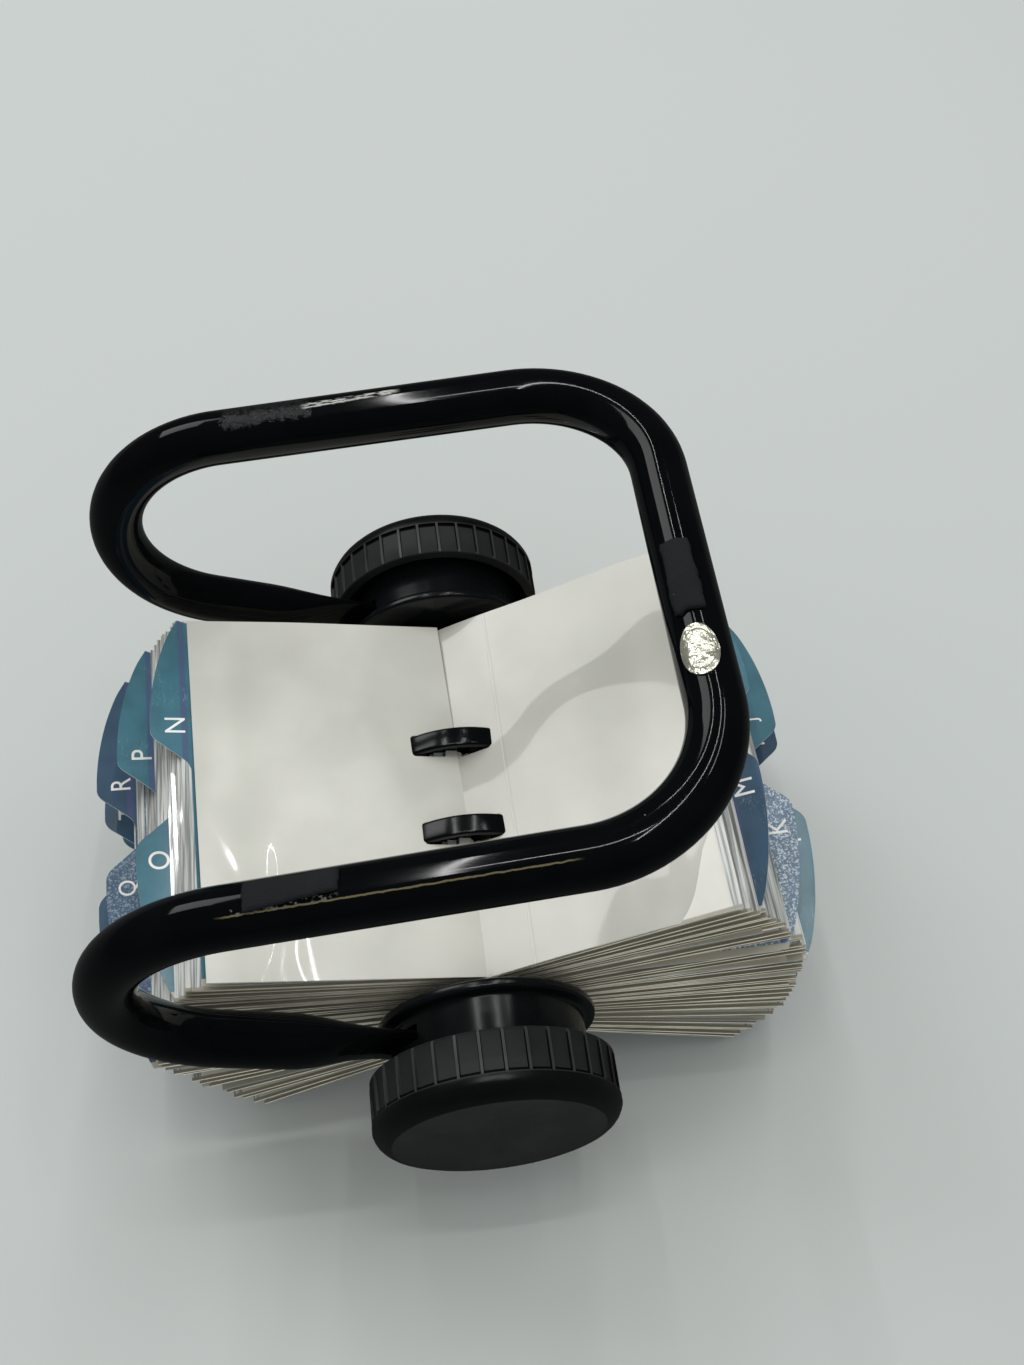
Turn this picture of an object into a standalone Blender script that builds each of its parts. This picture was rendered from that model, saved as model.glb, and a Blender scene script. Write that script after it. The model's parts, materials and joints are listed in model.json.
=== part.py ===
"""Rotary card file: tubular stand, spinning drum with two card rails, fanned index guides and sleeves.

The object lies upside down, as it is photographed: it rests on its card fans with the
stand's base loop up. The axle runs along Y and +Z is up. All lengths are in metres.
"""

import math

import bmesh
import bpy
from mathutils import Matrix, Vector

# Cards and guides: the card is the 4 inch size that fixes the scale of the whole object.
CARD_LENGTH = 0.1016
CARD_DEPTH = 0.0667
SLEEVE_THICKNESS = 0.0005
GUIDE_THICKNESS = 0.0004
RAIL_OFFSET = 0.0127
THROAT_WIDTH = 0.0024
THROAT_DEPTH = 0.003
SLOT_WIDTH = 0.0062
SLOT_DEPTH = 0.012

# Index tabs: one row stands behind the middle of the card, the other in front of it.
TAB_HEIGHT = 0.0095
BACK_TAB_START = 0.0062
BACK_TAB_END = CARD_LENGTH / 2.0
FRONT_TAB_START = -0.0004
FRONT_TAB_INSET = 0.004
FRONT_TAB_END = FRONT_TAB_INSET - CARD_LENGTH / 2.0
TAB_CURVE_SHARES = (
    (0.05, 0.12), (0.13, 0.55), (0.21, 0.95), (0.31, 1.0), (0.5, 0.93), (0.7, 0.75), (0.88, 0.48), (1.0, 0.2),
)

# Drum: a core tube on the shaft carries two T-section rails.
SHAFT_RADIUS = 0.004
RUNNING_GAP = 0.0003
RIM_RADIUS = 0.023
RAIL_HEIGHT = 0.0115
CORE_RADIUS = RIM_RADIUS - RAIL_HEIGHT
CORE_OVERHANG = 0.0026
CORE_HALF = CARD_LENGTH / 2.0 + CORE_OVERHANG
RIM_THICKNESS = 0.0016
RIM_WIDTH = 0.0055
WEB_THICKNESS = 0.0016

# Fans: a leaf turns about its inner edge and crosses the rail rim further out.
SLOT_REACH = 0.0098
SEAM_HALF = 0.0005
FAN_SHARES = (0.0, 0.25, 0.5, 0.8, 0.88, 1.0)
LEFT_LIFTS = (16.5, 11.4, 6.3, -1.0, -9.0, -25.0)
LEFT_REACH_SHARES = (1.0, 1.04, 0.47, 0.47, 0.55, 0.7)
RIGHT_LIFTS = (21.9, 10.0, -2.0, -16.4, -20.3, -26.0)
RIGHT_REACH_SHARES = (1.0, 1.0, 1.0, 1.0, 1.0, 1.0)

# Stand: one bent tube with flattened ends that hold the axle.
TUBE_RADIUS = 0.00635
TUBE_CORNERS = 14
ARM_ROOM = 0.0108
ARM_OFFSET = CARD_LENGTH / 2.0 + ARM_ROOM
HAIRPIN_X = -0.0462
HAIRPIN_Z = 0.0555
HAIRPIN_RADIUS = 0.0318
HAIRPIN_STEPS = 13
BASE_TILT = 6.02
BACK_TOE_SHARE = 0.042
BASE_LENGTH = 0.1
CORNER_RADIUS = 0.03
CORNER_STEPS = 7
FLAT_START = 0.05
FLAT_END = 0.024
BLADE_THICKNESS = 0.0032
BLADE_RADIUS = 0.0083
BLADE_END_SHARES = (-0.97, -0.8, -0.45, 0.0)
BLADE_STEPS = 5

# Bearing collars between the cards and the knobs.
COLLAR_INNER_REACH = 0.007
COLLAR_OUTER_REACH = 0.0088
COLLAR_START = ARM_OFFSET - COLLAR_INNER_REACH
COLLAR_END = ARM_OFFSET + COLLAR_OUTER_REACH
COLLAR_RADIUS = 0.0235
COLLAR_BORE = 0.0064
FLANGE_RADIUS = 0.0265
FLANGE_WIDTH = 0.0026
FLANGE_ROUND = 0.0008
BUSH_RADIUS = 0.006
BUSH_HALF = 0.0026
BUSH_START = ARM_OFFSET - BUSH_HALF
BUSH_END = ARM_OFFSET + BUSH_HALF
BLADE_HOLE_RADIUS = 0.0063

# Knobs: cups with flat finger panels between thin ribs.
KNOB_OVERLAP = 0.0027
KNOB_START = COLLAR_END - KNOB_OVERLAP
KNOB_RADIUS = 0.0294
KNOB_WALL_RADIUS = 0.0288
KNOB_INNER_RADIUS = 0.0264
KNOB_PANELS = 34
PANEL_RADIUS = 0.0291
PANEL_INNER_RADIUS = 0.0277
PANEL_INSET = 0.0006
PANEL_WIDTH = 0.0093
PANEL_START = KNOB_START + PANEL_INSET
PANEL_END = PANEL_START + PANEL_WIDTH
PANEL_SHARE = 0.86
KNOB_RIM_ROOM = 0.0018
KNOB_RIM_END = PANEL_END + KNOB_RIM_ROOM
KNOB_SHOULDER = 0.0022
KNOB_CORNER = 0.0042
KNOB_FACE = KNOB_RIM_END + KNOB_CORNER
KNOB_DOME = 0.001
KNOB_CROWN = KNOB_FACE + KNOB_DOME
KNOB_FACE_THICKNESS = 0.003
KNOB_FLOOR = KNOB_FACE - KNOB_FACE_THICKNESS
HUB_RADIUS = 0.0075
HUB_GAP = 0.0008
HUB_START = COLLAR_END + HUB_GAP
BORE_SKIN = 0.0016
BORE_END = KNOB_FACE - BORE_SKIN
SHAFT_HALF = BORE_END - RUNNING_GAP

# Clutch pieces inside the back knob.
WASHER_INNER = 0.0079
WASHER_OUTER = 0.0195
WASHER_THICKNESS = 0.001
WASHER_START = COLLAR_END + RUNNING_GAP
WASHER_END = WASHER_START + WASHER_THICKNESS
SPRING_INNER = 0.0095
SPRING_OUTER = 0.018
SPRING_LOW = WASHER_END + RUNNING_GAP
SPRING_HIGH = KNOB_FLOOR - RUNNING_GAP
SPRING_THICKNESS = 0.0008

# Foot pads and the bare oval label on the base loop.
PAD_LENGTH = 0.0183
PAD_INNER = 0.00665
PAD_OUTER = 0.0079
PAD_HALF_ANGLE = 28.0
PAD_STEPS = 5
FRONT_PAD_PLACE = 0.0144
CROSS_PAD_PLACE = -0.0046
CROSS_PAD_ROLL = -12.0
LABEL_PLACE = -0.0232
LABEL_HALF_LENGTH = 0.0061
LABEL_HALF_WIDTH = 0.004
LABEL_INNER = 0.00665
LABEL_OUTER = 0.0069
LABEL_ROLL = -12.0
LABEL_STEPS = 10

LATHE_STEPS = 36
SMALL_LATHE_STEPS = 24
WELD_DISTANCE = 0.00001

# Leaves from top to bottom: short names are guides, the others are packs of sleeves.
PACK_COUNT = 3
TOP_PACK_COUNT = 2
LEFT_STACK = (
    "page_left", "n", "sleeves_n", "o", "sleeves_o", "p", "sleeves_p", "q", "sleeves_q", "r", "sleeves_r",
    "s", "sleeves_s", "t", "sleeves_t", "u", "v", "sleeves_v", "w", "xyz", "sleeves_xyz",
)
RIGHT_STACK = (
    "page_right", "sleeves_m_right", "m", "sleeves_l", "l", "sleeves_k", "k", "sleeves_j", "j", "i", "sleeves_h",
    "h", "sleeves_g", "g", "sleeves_f", "f", "sleeves_e", "e", "d", "c", "sleeves_b", "b", "a",
)
FRONT_ROW = "acegikmoqsuw"
NAVY_GUIDES = "mrstuhgf"

PALETTE = {
    "gloss_black": ((0.012, 0.012, 0.013, 1.0), 0.16, 0.0),
    "collar_black": ((0.015, 0.015, 0.016, 1.0), 0.22, 0.0),
    "knob_charcoal": ((0.03, 0.031, 0.033, 1.0), 0.55, 0.0),
    "drum_black": ((0.018, 0.018, 0.019, 1.0), 0.35, 0.0),
    "pad_grey": ((0.06, 0.06, 0.062, 1.0), 0.8, 0.0),
    "foil": ((0.72, 0.7, 0.6, 1.0), 0.3, 0.9),
    "steel": ((0.55, 0.55, 0.56, 1.0), 0.3, 1.0),
    "nylon": ((0.8, 0.79, 0.75, 1.0), 0.45, 0.0),
    "fibre": ((0.25, 0.1, 0.06, 1.0), 0.8, 0.0),
    "sleeve_clear": ((0.76, 0.75, 0.7, 1.0), 0.2, 0.0),
    "tab_teal": ((0.07, 0.17, 0.25, 1.0), 0.35, 0.0),
    "tab_navy": ((0.06, 0.1, 0.18, 1.0), 0.35, 0.0),
}


def clear_scene():
    """Remove whatever the scene starts with."""
    for item in list(bpy.data.objects):
        bpy.data.objects.remove(item, do_unlink=True)


def make_materials():
    """Make one shader for each finish in the palette."""
    finishes = {}
    for name, (colour, roughness, metallic) in PALETTE.items():
        finish = bpy.data.materials.new(name)
        finish.use_nodes = True
        shader = finish.node_tree.nodes["Principled BSDF"]
        shader.inputs["Base Color"].default_value = colour
        shader.inputs["Roughness"].default_value = roughness
        shader.inputs["Metallic"].default_value = metallic
        finish.diffuse_color = colour
        finishes[name] = finish
    return finishes


def own_material(finishes, finish_name, node_name):
    """Give a node a copy of a finish under its own name."""
    finish = finishes[finish_name].copy()
    finish.name = node_name + "_finish"
    return finish


class Shop:
    """Makes named objects in the object's own collection."""

    def __init__(self):
        self.parts = bpy.data.collections.new("rotary_card_file")
        self.tools = bpy.data.collections.new("cutters")
        bpy.context.scene.collection.children.link(self.parts)
        bpy.context.scene.collection.children.link(self.tools)
        self.finishes = make_materials()

    def add(self, name, mesh, finish_name, origin=Vector((0.0, 0.0, 0.0))):
        """Add a mesh whose points are given in world space, with its origin where asked."""
        mesh.transform(Matrix.Translation(-origin))
        mesh.name = name
        mesh.materials.clear()
        mesh.materials.append(own_material(self.finishes, finish_name, name))
        item = bpy.data.objects.new(name, mesh)
        item.location = origin
        self.parts.objects.link(item)
        return item

    def cutter(self, name, mesh):
        """Add a hidden tool body for a Boolean."""
        item = bpy.data.objects.new(name, mesh)
        item.hide_render = True
        item.display_type = "WIRE"
        self.tools.objects.link(item)
        return item

    def combine(self, mesh, tool_mesh, operation):
        """Cut or join two closed meshes and return the result."""
        body = self.cutter("body", mesh)
        tool = self.cutter("tool", tool_mesh)
        step = body.modifiers.new("cut", "BOOLEAN")
        step.operation = operation
        step.solver = "EXACT"
        step.object = tool
        result = baked(body)
        bpy.data.objects.remove(tool, do_unlink=True)
        bpy.data.objects.remove(body, do_unlink=True)
        return result


def baked(item):
    """Return the evaluated mesh of an object as a mesh of its own."""
    graph = bpy.context.evaluated_depsgraph_get()
    graph.update()
    mesh = bpy.data.meshes.new_from_object(item.evaluated_get(graph), depsgraph=graph)
    tidy(mesh)
    return mesh


def tidy(mesh):
    """Weld a mesh and turn its faces outward."""
    work = bmesh.new()
    work.from_mesh(mesh)
    bmesh.ops.remove_doubles(work, verts=work.verts, dist=WELD_DISTANCE)
    bmesh.ops.recalc_face_normals(work, faces=work.faces)
    work.to_mesh(mesh)
    work.free()


def prism(outline, thickness, place):
    """Extrude a flat outline both ways about its plane, then put each point in the world.

    place turns (u, v, w) into a world point, with w across the thickness.
    """
    work = bmesh.new()
    low = -thickness / 2.0
    ring = [work.verts.new(place(u, v, low)) for u, v in outline]
    face = work.faces.new(ring)
    grown = bmesh.ops.extrude_face_region(work, geom=[face])
    fresh = [piece for piece in grown["geom"] if isinstance(piece, bmesh.types.BMVert)]
    shift = place(0.0, 0.0, thickness) - place(0.0, 0.0, 0.0)
    bmesh.ops.translate(work, verts=fresh, vec=shift)
    bmesh.ops.recalc_face_normals(work, faces=work.faces)
    mesh = bpy.data.meshes.new("prism")
    work.to_mesh(mesh)
    work.free()
    return mesh


def wedge(outline, low_place, high_place):
    """A solid between two copies of an outline, each placed in the world by its own function."""
    work = bmesh.new()
    low = [work.verts.new(low_place(u, v)) for u, v in outline]
    high = [work.verts.new(high_place(u, v)) for u, v in outline]
    for lines in (low, high):
        for first, second in zip(lines, lines[1:] + lines[:1]):
            work.edges.new((first, second))
    bmesh.ops.bridge_loops(work, edges=work.edges[:])
    bmesh.ops.holes_fill(work, edges=work.edges[:], sides=0)
    bmesh.ops.recalc_face_normals(work, faces=work.faces)
    mesh = bpy.data.meshes.new("wedge")
    work.to_mesh(mesh)
    work.free()
    return mesh


def lathe(shop, profile, steps, closed):
    """Turn a profile of (radius, height) about the axle, with height along +Y."""
    mesh = bpy.data.meshes.new("profile")
    work = bmesh.new()
    points = [work.verts.new((radius, 0.0, height)) for radius, height in profile]
    for first, second in zip(points, points[1:]):
        work.edges.new((first, second))
    if closed:
        work.edges.new((points[-1], points[0]))
    work.to_mesh(mesh)
    work.free()
    item = bpy.data.objects.new("turned", mesh)
    shop.tools.objects.link(item)
    turn = item.modifiers.new("turn", "SCREW")
    turn.angle = math.tau
    turn.steps = steps
    turn.render_steps = steps
    turn.use_merge_vertices = True
    turn.merge_threshold = WELD_DISTANCE
    result = baked(item)
    bpy.data.objects.remove(item, do_unlink=True)
    result.transform(Matrix.Rotation(math.radians(-90.0), 4, "X"))
    return result


def mirrored(mesh):
    """Return a copy of a mesh for the other end of the axle."""
    copy = mesh.copy()
    copy.transform(Matrix.Diagonal((1.0, -1.0, 1.0, 1.0)))
    tidy(copy)
    return copy


def notch(centre):
    """Outline points of one keyhole slot, from the card's inner edge and back to it."""
    throat = THROAT_WIDTH / 2.0
    slot = SLOT_WIDTH / 2.0
    return [
        (0.0, centre - throat),
        (THROAT_DEPTH, centre - throat),
        (THROAT_DEPTH, centre - slot),
        (SLOT_DEPTH, centre - slot),
        (SLOT_DEPTH, centre + slot),
        (THROAT_DEPTH, centre + slot),
        (THROAT_DEPTH, centre + throat),
        (0.0, centre + throat),
    ]


def leaf_outline(tab):
    """Outline of a leaf: distance out from its inner edge, then distance along the axle."""
    half = CARD_LENGTH / 2.0
    points = [(0.0, -half)]
    points += notch(-RAIL_OFFSET)
    points += notch(RAIL_OFFSET)
    points.append((0.0, half))
    points.append((CARD_DEPTH, half))
    if tab == "back":
        points += reversed(tab_curve(BACK_TAB_START, BACK_TAB_END))
        points.append((CARD_DEPTH, BACK_TAB_START))
    if tab == "front":
        points.append((CARD_DEPTH, FRONT_TAB_START))
        points += tab_curve(FRONT_TAB_START, FRONT_TAB_END)
        points.append((CARD_DEPTH, FRONT_TAB_END))
    points.append((CARD_DEPTH, -half))
    return points


def tab_curve(start, end):
    """Outer edge of a tab from its steep shoulder to its long low end."""
    return [
        (CARD_DEPTH + TAB_HEIGHT * high, start + (end - start) * along)
        for along, high in TAB_CURVE_SHARES
    ]


def along_fan(values, share):
    """Value at a share of the stack, read between the neighbouring entries of a row."""
    for low, high, first, last in zip(FAN_SHARES, FAN_SHARES[1:], values, values[1:]):
        if share <= high:
            return first + (last - first) * (share - low) / (high - low)
    return values[-1]


def fan_places(count, lifts, reach_shares, side):
    """Inner edge point and lift angle of each leaf on one side, evenly spaced across the stack."""
    ring = RIM_RADIUS - RIM_THICKNESS / 2.0
    top = math.radians(lifts[0])
    bottom = math.radians(lifts[-1])
    start = math.acos((SEAM_HALF + SLOT_REACH * reach_shares[0] * math.cos(top)) / ring)
    finish = -math.acos((SEAM_HALF + SLOT_REACH * reach_shares[-1] * math.cos(bottom)) / ring)
    low_turn = 0.0
    high_turn = math.tau * 4.0
    for _ in range(50):
        trial = (low_turn + high_turn) / 2.0
        if ring_walk(count, start, lifts, trial)[-1] > finish:
            low_turn = trial
        else:
            high_turn = trial
    places = []
    for index, turn in enumerate(ring_walk(count, start, lifts, low_turn)):
        share = index / (count - 1)
        lift = math.radians(along_fan(lifts, share))
        reach = SLOT_REACH * along_fan(reach_shares, share)
        x = ring * math.cos(turn) - reach * math.cos(lift)
        z = ring * math.sin(turn) - reach * math.sin(lift)
        places.append((Vector((side * x, 0.0, z)), lift))
    return places


def ring_walk(count, start, lifts, total):
    """Ring angles of the leaves when the stack is total radii thick."""
    fine = 24
    turn = start
    turns = [start]
    for index in range(count - 1):
        for part in range(fine):
            lift = math.radians(along_fan(lifts, (index + part / fine) / (count - 1)))
            turn -= total / (count - 1) / fine / max(math.cos(turn - lift), 0.2)
        turns.append(turn)
    return turns


def leaf_point(place, side, above):
    """A function that puts outline points on one face of a leaf."""
    inner, lift = place
    out = Vector((side * math.cos(lift), 0.0, math.sin(lift)))
    across = Vector((-side * math.sin(lift), 0.0, math.cos(lift)))
    along = Vector((0.0, 1.0, 0.0))
    return lambda u, v: inner + out * u + along * v + across * above


def pack_mesh(outline, thickness, top_place, bottom_place, side):
    """A leaf, or the leaves from the top one to the bottom one as a single wedge."""
    half = thickness / 2.0
    return wedge(outline, leaf_point(bottom_place, side, -half), leaf_point(top_place, side, half))


def sheet_count(name):
    """How many sheets an entry of a stack stands for."""
    if name.startswith("sleeves_m_"):
        return TOP_PACK_COUNT
    return PACK_COUNT if name.startswith("sleeves_") else 1


def build_side(shop, stack, lifts, reach_shares, side):
    """Hang every leaf of one side: packs of sleeves and single index guides."""
    places = fan_places(sum(sheet_count(name) for name in stack), lifts, reach_shares, side)
    plain = leaf_outline("none")
    index = 0
    pivot = places[0][0]
    for name in stack:
        top_place = places[index]
        index += sheet_count(name)
        if "_" in name:
            mesh = pack_mesh(plain, SLEEVE_THICKNESS, top_place, places[index - 1], side)
            shop.add(name, mesh, "sleeve_clear", pivot)
        else:
            pivot = top_place[0]
            outline = leaf_outline("front" if name[0] in FRONT_ROW else "back")
            colour = "tab_navy" if name[0] in NAVY_GUIDES else "tab_teal"
            mesh = pack_mesh(outline, GUIDE_THICKNESS, top_place, top_place, side)
            shop.add("guide_" + name, mesh, colour, pivot)


def leg_direction():
    """Direction of the leg that leaves the axle and touches the hairpin bend."""
    distance = math.hypot(HAIRPIN_X, HAIRPIN_Z)
    angle = math.atan2(HAIRPIN_Z, HAIRPIN_X) + math.asin(HAIRPIN_RADIUS / distance)
    return Vector((math.cos(angle), 0.0, math.sin(angle)))


def base_frame():
    """Start point and direction of the base loop's arm."""
    tilt = math.radians(BASE_TILT)
    start = Vector((HAIRPIN_X, 0.0, HAIRPIN_Z)) + Vector((-math.sin(tilt), 0.0, math.cos(tilt))) * HAIRPIN_RADIUS
    return start, Vector((math.cos(tilt), 0.0, math.sin(tilt)))


def half_path(toe_share):
    """Centre line of one half of the stand, from its end at the axle to the crossbar."""
    out = leg_direction()
    side = Vector((0.0, -ARM_OFFSET, 0.0))
    points = [side + out * (BLADE_RADIUS * share) for share in BLADE_END_SHARES]
    points.append(side + out * (FLAT_END / 2.0))
    for step in range(BLADE_STEPS + 1):
        points.append(side + out * (FLAT_END + (FLAT_START - FLAT_END) * step / BLADE_STEPS))
    centre = Vector((HAIRPIN_X, 0.0, HAIRPIN_Z))
    first = math.atan2(out.z, out.x) + math.radians(90.0)
    last = math.radians(90.0 + BASE_TILT)
    for step in range(HAIRPIN_STEPS + 1):
        turn = first + (last - first) * step / HAIRPIN_STEPS
        points.append(side + centre + Vector((math.cos(turn), 0.0, math.sin(turn))) * HAIRPIN_RADIUS)
    start, along = base_frame()
    reach = BASE_LENGTH - CORNER_RADIUS
    for step in range(CORNER_STEPS + 1):
        turn = math.radians(90.0) * step / CORNER_STEPS
        run = reach + CORNER_RADIUS * math.sin(turn)
        width = (ARM_OFFSET - CORNER_RADIUS * (1.0 - math.cos(turn))) * (1.0 - toe_share * run / ARM_OFFSET)
        points.append(start + along * run + Vector((0.0, -width, 0.0)))
    return points


def build_stand(shop):
    """Sweep the tube, then flatten its ends and bore them for the bushes."""
    back = [Vector((point.x, -point.y, point.z)) for point in reversed(half_path(BACK_TOE_SHARE))]
    path = half_path(0.0) + back
    curve = bpy.data.curves.new("tube_path", "CURVE")
    curve.dimensions = "3D"
    curve.bevel_depth = TUBE_RADIUS
    curve.bevel_resolution = (TUBE_CORNERS - 4) // 2
    curve.use_fill_caps = True
    spline = curve.splines.new("POLY")
    spline.points.add(len(path) - 1)
    for point, place in zip(spline.points, path):
        point.co = (place.x, place.y, place.z, 1.0)
    item = bpy.data.objects.new("tube_sweep", curve)
    shop.tools.objects.link(item)
    mesh = baked(item)
    bpy.data.objects.remove(item, do_unlink=True)
    for vertex in mesh.vertices:
        vertex.co = flattened(vertex.co)
    tidy(mesh)
    hole = cylinder(shop, BLADE_HOLE_RADIUS, ARM_OFFSET + BLADE_THICKNESS, -ARM_OFFSET - BLADE_THICKNESS)
    mesh = shop.combine(mesh, hole, "DIFFERENCE")
    shop.add("frame_tube", mesh, "gloss_black")


def flattened(point):
    """Press a point of the round tube towards the blade shape near the axle."""
    out = leg_direction()
    across = Vector((-out.z, 0.0, out.x))
    run = point.dot(out)
    rise = point.dot(across)
    if run > FLAT_START or abs(rise) > TUBE_RADIUS * 1.05:
        return point.copy()
    share = min(max((FLAT_START - run) / (FLAT_START - FLAT_END), 0.0), 1.0)
    share = share * share * (3.0 - 2.0 * share)
    end_share = math.sqrt(max(1.0 - (min(run, 0.0) / BLADE_RADIUS) ** 2, 0.0))
    side = math.copysign(ARM_OFFSET, point.y)
    thin = 1.0 + (BLADE_THICKNESS / (TUBE_RADIUS * 2.0) - 1.0) * share
    wide = (1.0 + (BLADE_RADIUS / TUBE_RADIUS - 1.0) * share) * end_share
    return out * run + across * (rise * wide) + Vector((0.0, side + (point.y - side) * thin, 0.0))


def cylinder(shop, radius, start, end):
    """A plain cylinder about the axle."""
    return lathe(shop, [(0.0, start), (radius, start), (radius, end), (0.0, end)], SMALL_LATHE_STEPS, False)


def ring(shop, inner, outer, start, end, steps):
    """A plain ring about the axle."""
    profile = [(outer, end), (outer, start), (inner, start), (inner, end)]
    return lathe(shop, profile, steps, True)


def build_collars(shop):
    """Turn the bearing collars and open each one for the flattened tube end."""
    foot = COLLAR_START + FLANGE_WIDTH
    profile = [
        (COLLAR_RADIUS, COLLAR_END),
        (COLLAR_RADIUS, foot + FLANGE_ROUND),
        (FLANGE_RADIUS - FLANGE_ROUND, foot),
        (FLANGE_RADIUS, foot - FLANGE_ROUND),
        (FLANGE_RADIUS, COLLAR_START + FLANGE_ROUND),
        (FLANGE_RADIUS - FLANGE_ROUND, COLLAR_START),
        (COLLAR_BORE, COLLAR_START),
        (COLLAR_BORE, COLLAR_END),
    ]
    mesh = lathe(shop, profile, LATHE_STEPS, True)
    out = leg_direction()
    across = Vector((-out.z, 0.0, out.x))
    middle = Vector((0.0, ARM_OFFSET, 0.0))
    high = BLADE_RADIUS + RUNNING_GAP
    outline = [
        (-high, -high),
        (FLANGE_RADIUS * 1.3, -high),
        (FLANGE_RADIUS * 1.3, high),
        (-high, high),
    ]
    slot = prism(
        outline,
        BLADE_THICKNESS + RUNNING_GAP * 2.0,
        lambda u, v, w: middle + out * u + across * v + Vector((0.0, w, 0.0)),
    )
    back = shop.combine(mesh, slot, "DIFFERENCE")
    front = mirrored(back)
    shop.add("collar_back", back, "collar_black")
    shop.add("collar_front", front, "collar_black")
    bore = SHAFT_RADIUS + RUNNING_GAP
    bush = ring(shop, bore, BUSH_RADIUS, BUSH_START, BUSH_END, SMALL_LATHE_STEPS)
    shop.add("bush_front", mirrored(bush), "nylon")
    shop.add("bush_back", bush, "nylon")


def panel_outline():
    """Cross-section of the grip: flat panels with a thin rib between neighbours."""
    points = []
    for panel in range(KNOB_PANELS):
        for radius, share in ((PANEL_RADIUS, 0.0), (PANEL_RADIUS, PANEL_SHARE), (KNOB_RADIUS, 0.5 + PANEL_SHARE / 2.0)):
            turn = math.tau * (panel + share) / KNOB_PANELS
            points.append((radius * math.cos(turn), radius * math.sin(turn)))
    return points


def build_knobs(shop):
    """Turn the knob cup and join the panelled grip to it."""
    bore = SHAFT_RADIUS + RUNNING_GAP
    profile = [
        (0.0, KNOB_CROWN),
        (KNOB_RADIUS * 0.55, KNOB_FACE + (KNOB_CROWN - KNOB_FACE) * 0.6),
        (KNOB_RADIUS * 0.86, KNOB_FACE - (KNOB_CROWN - KNOB_FACE) * 0.5),
        (KNOB_RADIUS - KNOB_SHOULDER * 0.4, KNOB_RIM_END + KNOB_SHOULDER * 0.7),
        (KNOB_RADIUS, KNOB_RIM_END),
        (KNOB_RADIUS, PANEL_END + KNOB_SHOULDER * 0.2),
        (KNOB_WALL_RADIUS, PANEL_END - KNOB_SHOULDER * 0.2),
        (KNOB_WALL_RADIUS, KNOB_START),
        (KNOB_INNER_RADIUS, KNOB_START),
        (KNOB_INNER_RADIUS, KNOB_FLOOR),
        (HUB_RADIUS, KNOB_FLOOR),
        (HUB_RADIUS, HUB_START),
        (bore, HUB_START),
        (bore, BORE_END),
        (0.0, BORE_END),
    ]
    cup = lathe(shop, profile, KNOB_PANELS, False)
    width = PANEL_END - PANEL_START
    middle = Vector((0.0, (PANEL_END + PANEL_START) / 2.0, 0.0))
    grip = prism(panel_outline(), width, lambda u, v, w: middle + Vector((u, w, v)))
    hollow = cylinder(shop, PANEL_INNER_RADIUS, PANEL_END * 1.1, PANEL_START * 0.9)
    grip = shop.combine(grip, hollow, "DIFFERENCE")
    back = shop.combine(cup, grip, "UNION")
    front = mirrored(back)
    shop.add("knob_back", back, "knob_charcoal")
    shop.add("knob_front", front, "knob_charcoal")


def build_drum(shop):
    """The shaft, the core tube, the two rails and the clutch pieces."""
    shop.add("shaft", cylinder(shop, SHAFT_RADIUS, SHAFT_HALF, -SHAFT_HALF), "steel")
    bore = SHAFT_RADIUS + RUNNING_GAP
    core = ring(shop, bore, CORE_RADIUS, -CORE_HALF, CORE_HALF, SMALL_LATHE_STEPS)
    shop.add("drum_core", core, "drum_black")
    rim_half = RIM_WIDTH / 2.0
    web_half = WEB_THICKNESS / 2.0
    soft = RIM_THICKNESS / 3.0
    rim_inner = RIM_RADIUS - RIM_THICKNESS
    profile = [
        (RIM_RADIUS, RAIL_OFFSET + rim_half - soft),
        (RIM_RADIUS, RAIL_OFFSET - rim_half + soft),
        (RIM_RADIUS - soft, RAIL_OFFSET - rim_half),
        (rim_inner, RAIL_OFFSET - rim_half),
        (rim_inner, RAIL_OFFSET - web_half),
        (CORE_RADIUS + RUNNING_GAP, RAIL_OFFSET - web_half),
        (CORE_RADIUS + RUNNING_GAP, RAIL_OFFSET + web_half),
        (rim_inner, RAIL_OFFSET + web_half),
        (rim_inner, RAIL_OFFSET + rim_half),
        (RIM_RADIUS - soft, RAIL_OFFSET + rim_half),
    ]
    rail = lathe(shop, profile, LATHE_STEPS, True)
    shop.add("rail_front", mirrored(rail), "drum_black")
    shop.add("rail_back", rail, "drum_black")
    washer = ring(shop, WASHER_INNER, WASHER_OUTER, WASHER_START, WASHER_END, SMALL_LATHE_STEPS)
    shop.add("friction_washer", washer, "fibre")
    cone = [
        (SPRING_OUTER, SPRING_LOW + SPRING_THICKNESS),
        (SPRING_OUTER, SPRING_LOW),
        (SPRING_INNER, SPRING_HIGH - SPRING_THICKNESS),
        (SPRING_INNER, SPRING_HIGH),
    ]
    shop.add("clutch_spring", lathe(shop, cone, SMALL_LATHE_STEPS, True), "steel")


def on_crossbar(place, roll):
    """Centre and outward direction on the crossbar at a place along the axle's direction."""
    start, along = base_frame()
    up = Vector((-along.z, 0.0, along.x))
    lean = math.radians(roll)
    out = up * math.cos(lean) + along * math.sin(lean)
    across = along * math.cos(lean) - up * math.sin(lean)
    centre = start + along * BASE_LENGTH + Vector((0.0, place, 0.0))
    return centre, out, across, Vector((0.0, 1.0, 0.0))


def on_arm(place):
    """The same on the front arm, at a place along it."""
    start, along = base_frame()
    up = Vector((-along.z, 0.0, along.x))
    centre = start + along * place + Vector((0.0, -ARM_OFFSET, 0.0))
    return centre, up, Vector((0.0, -1.0, 0.0)), along


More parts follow.
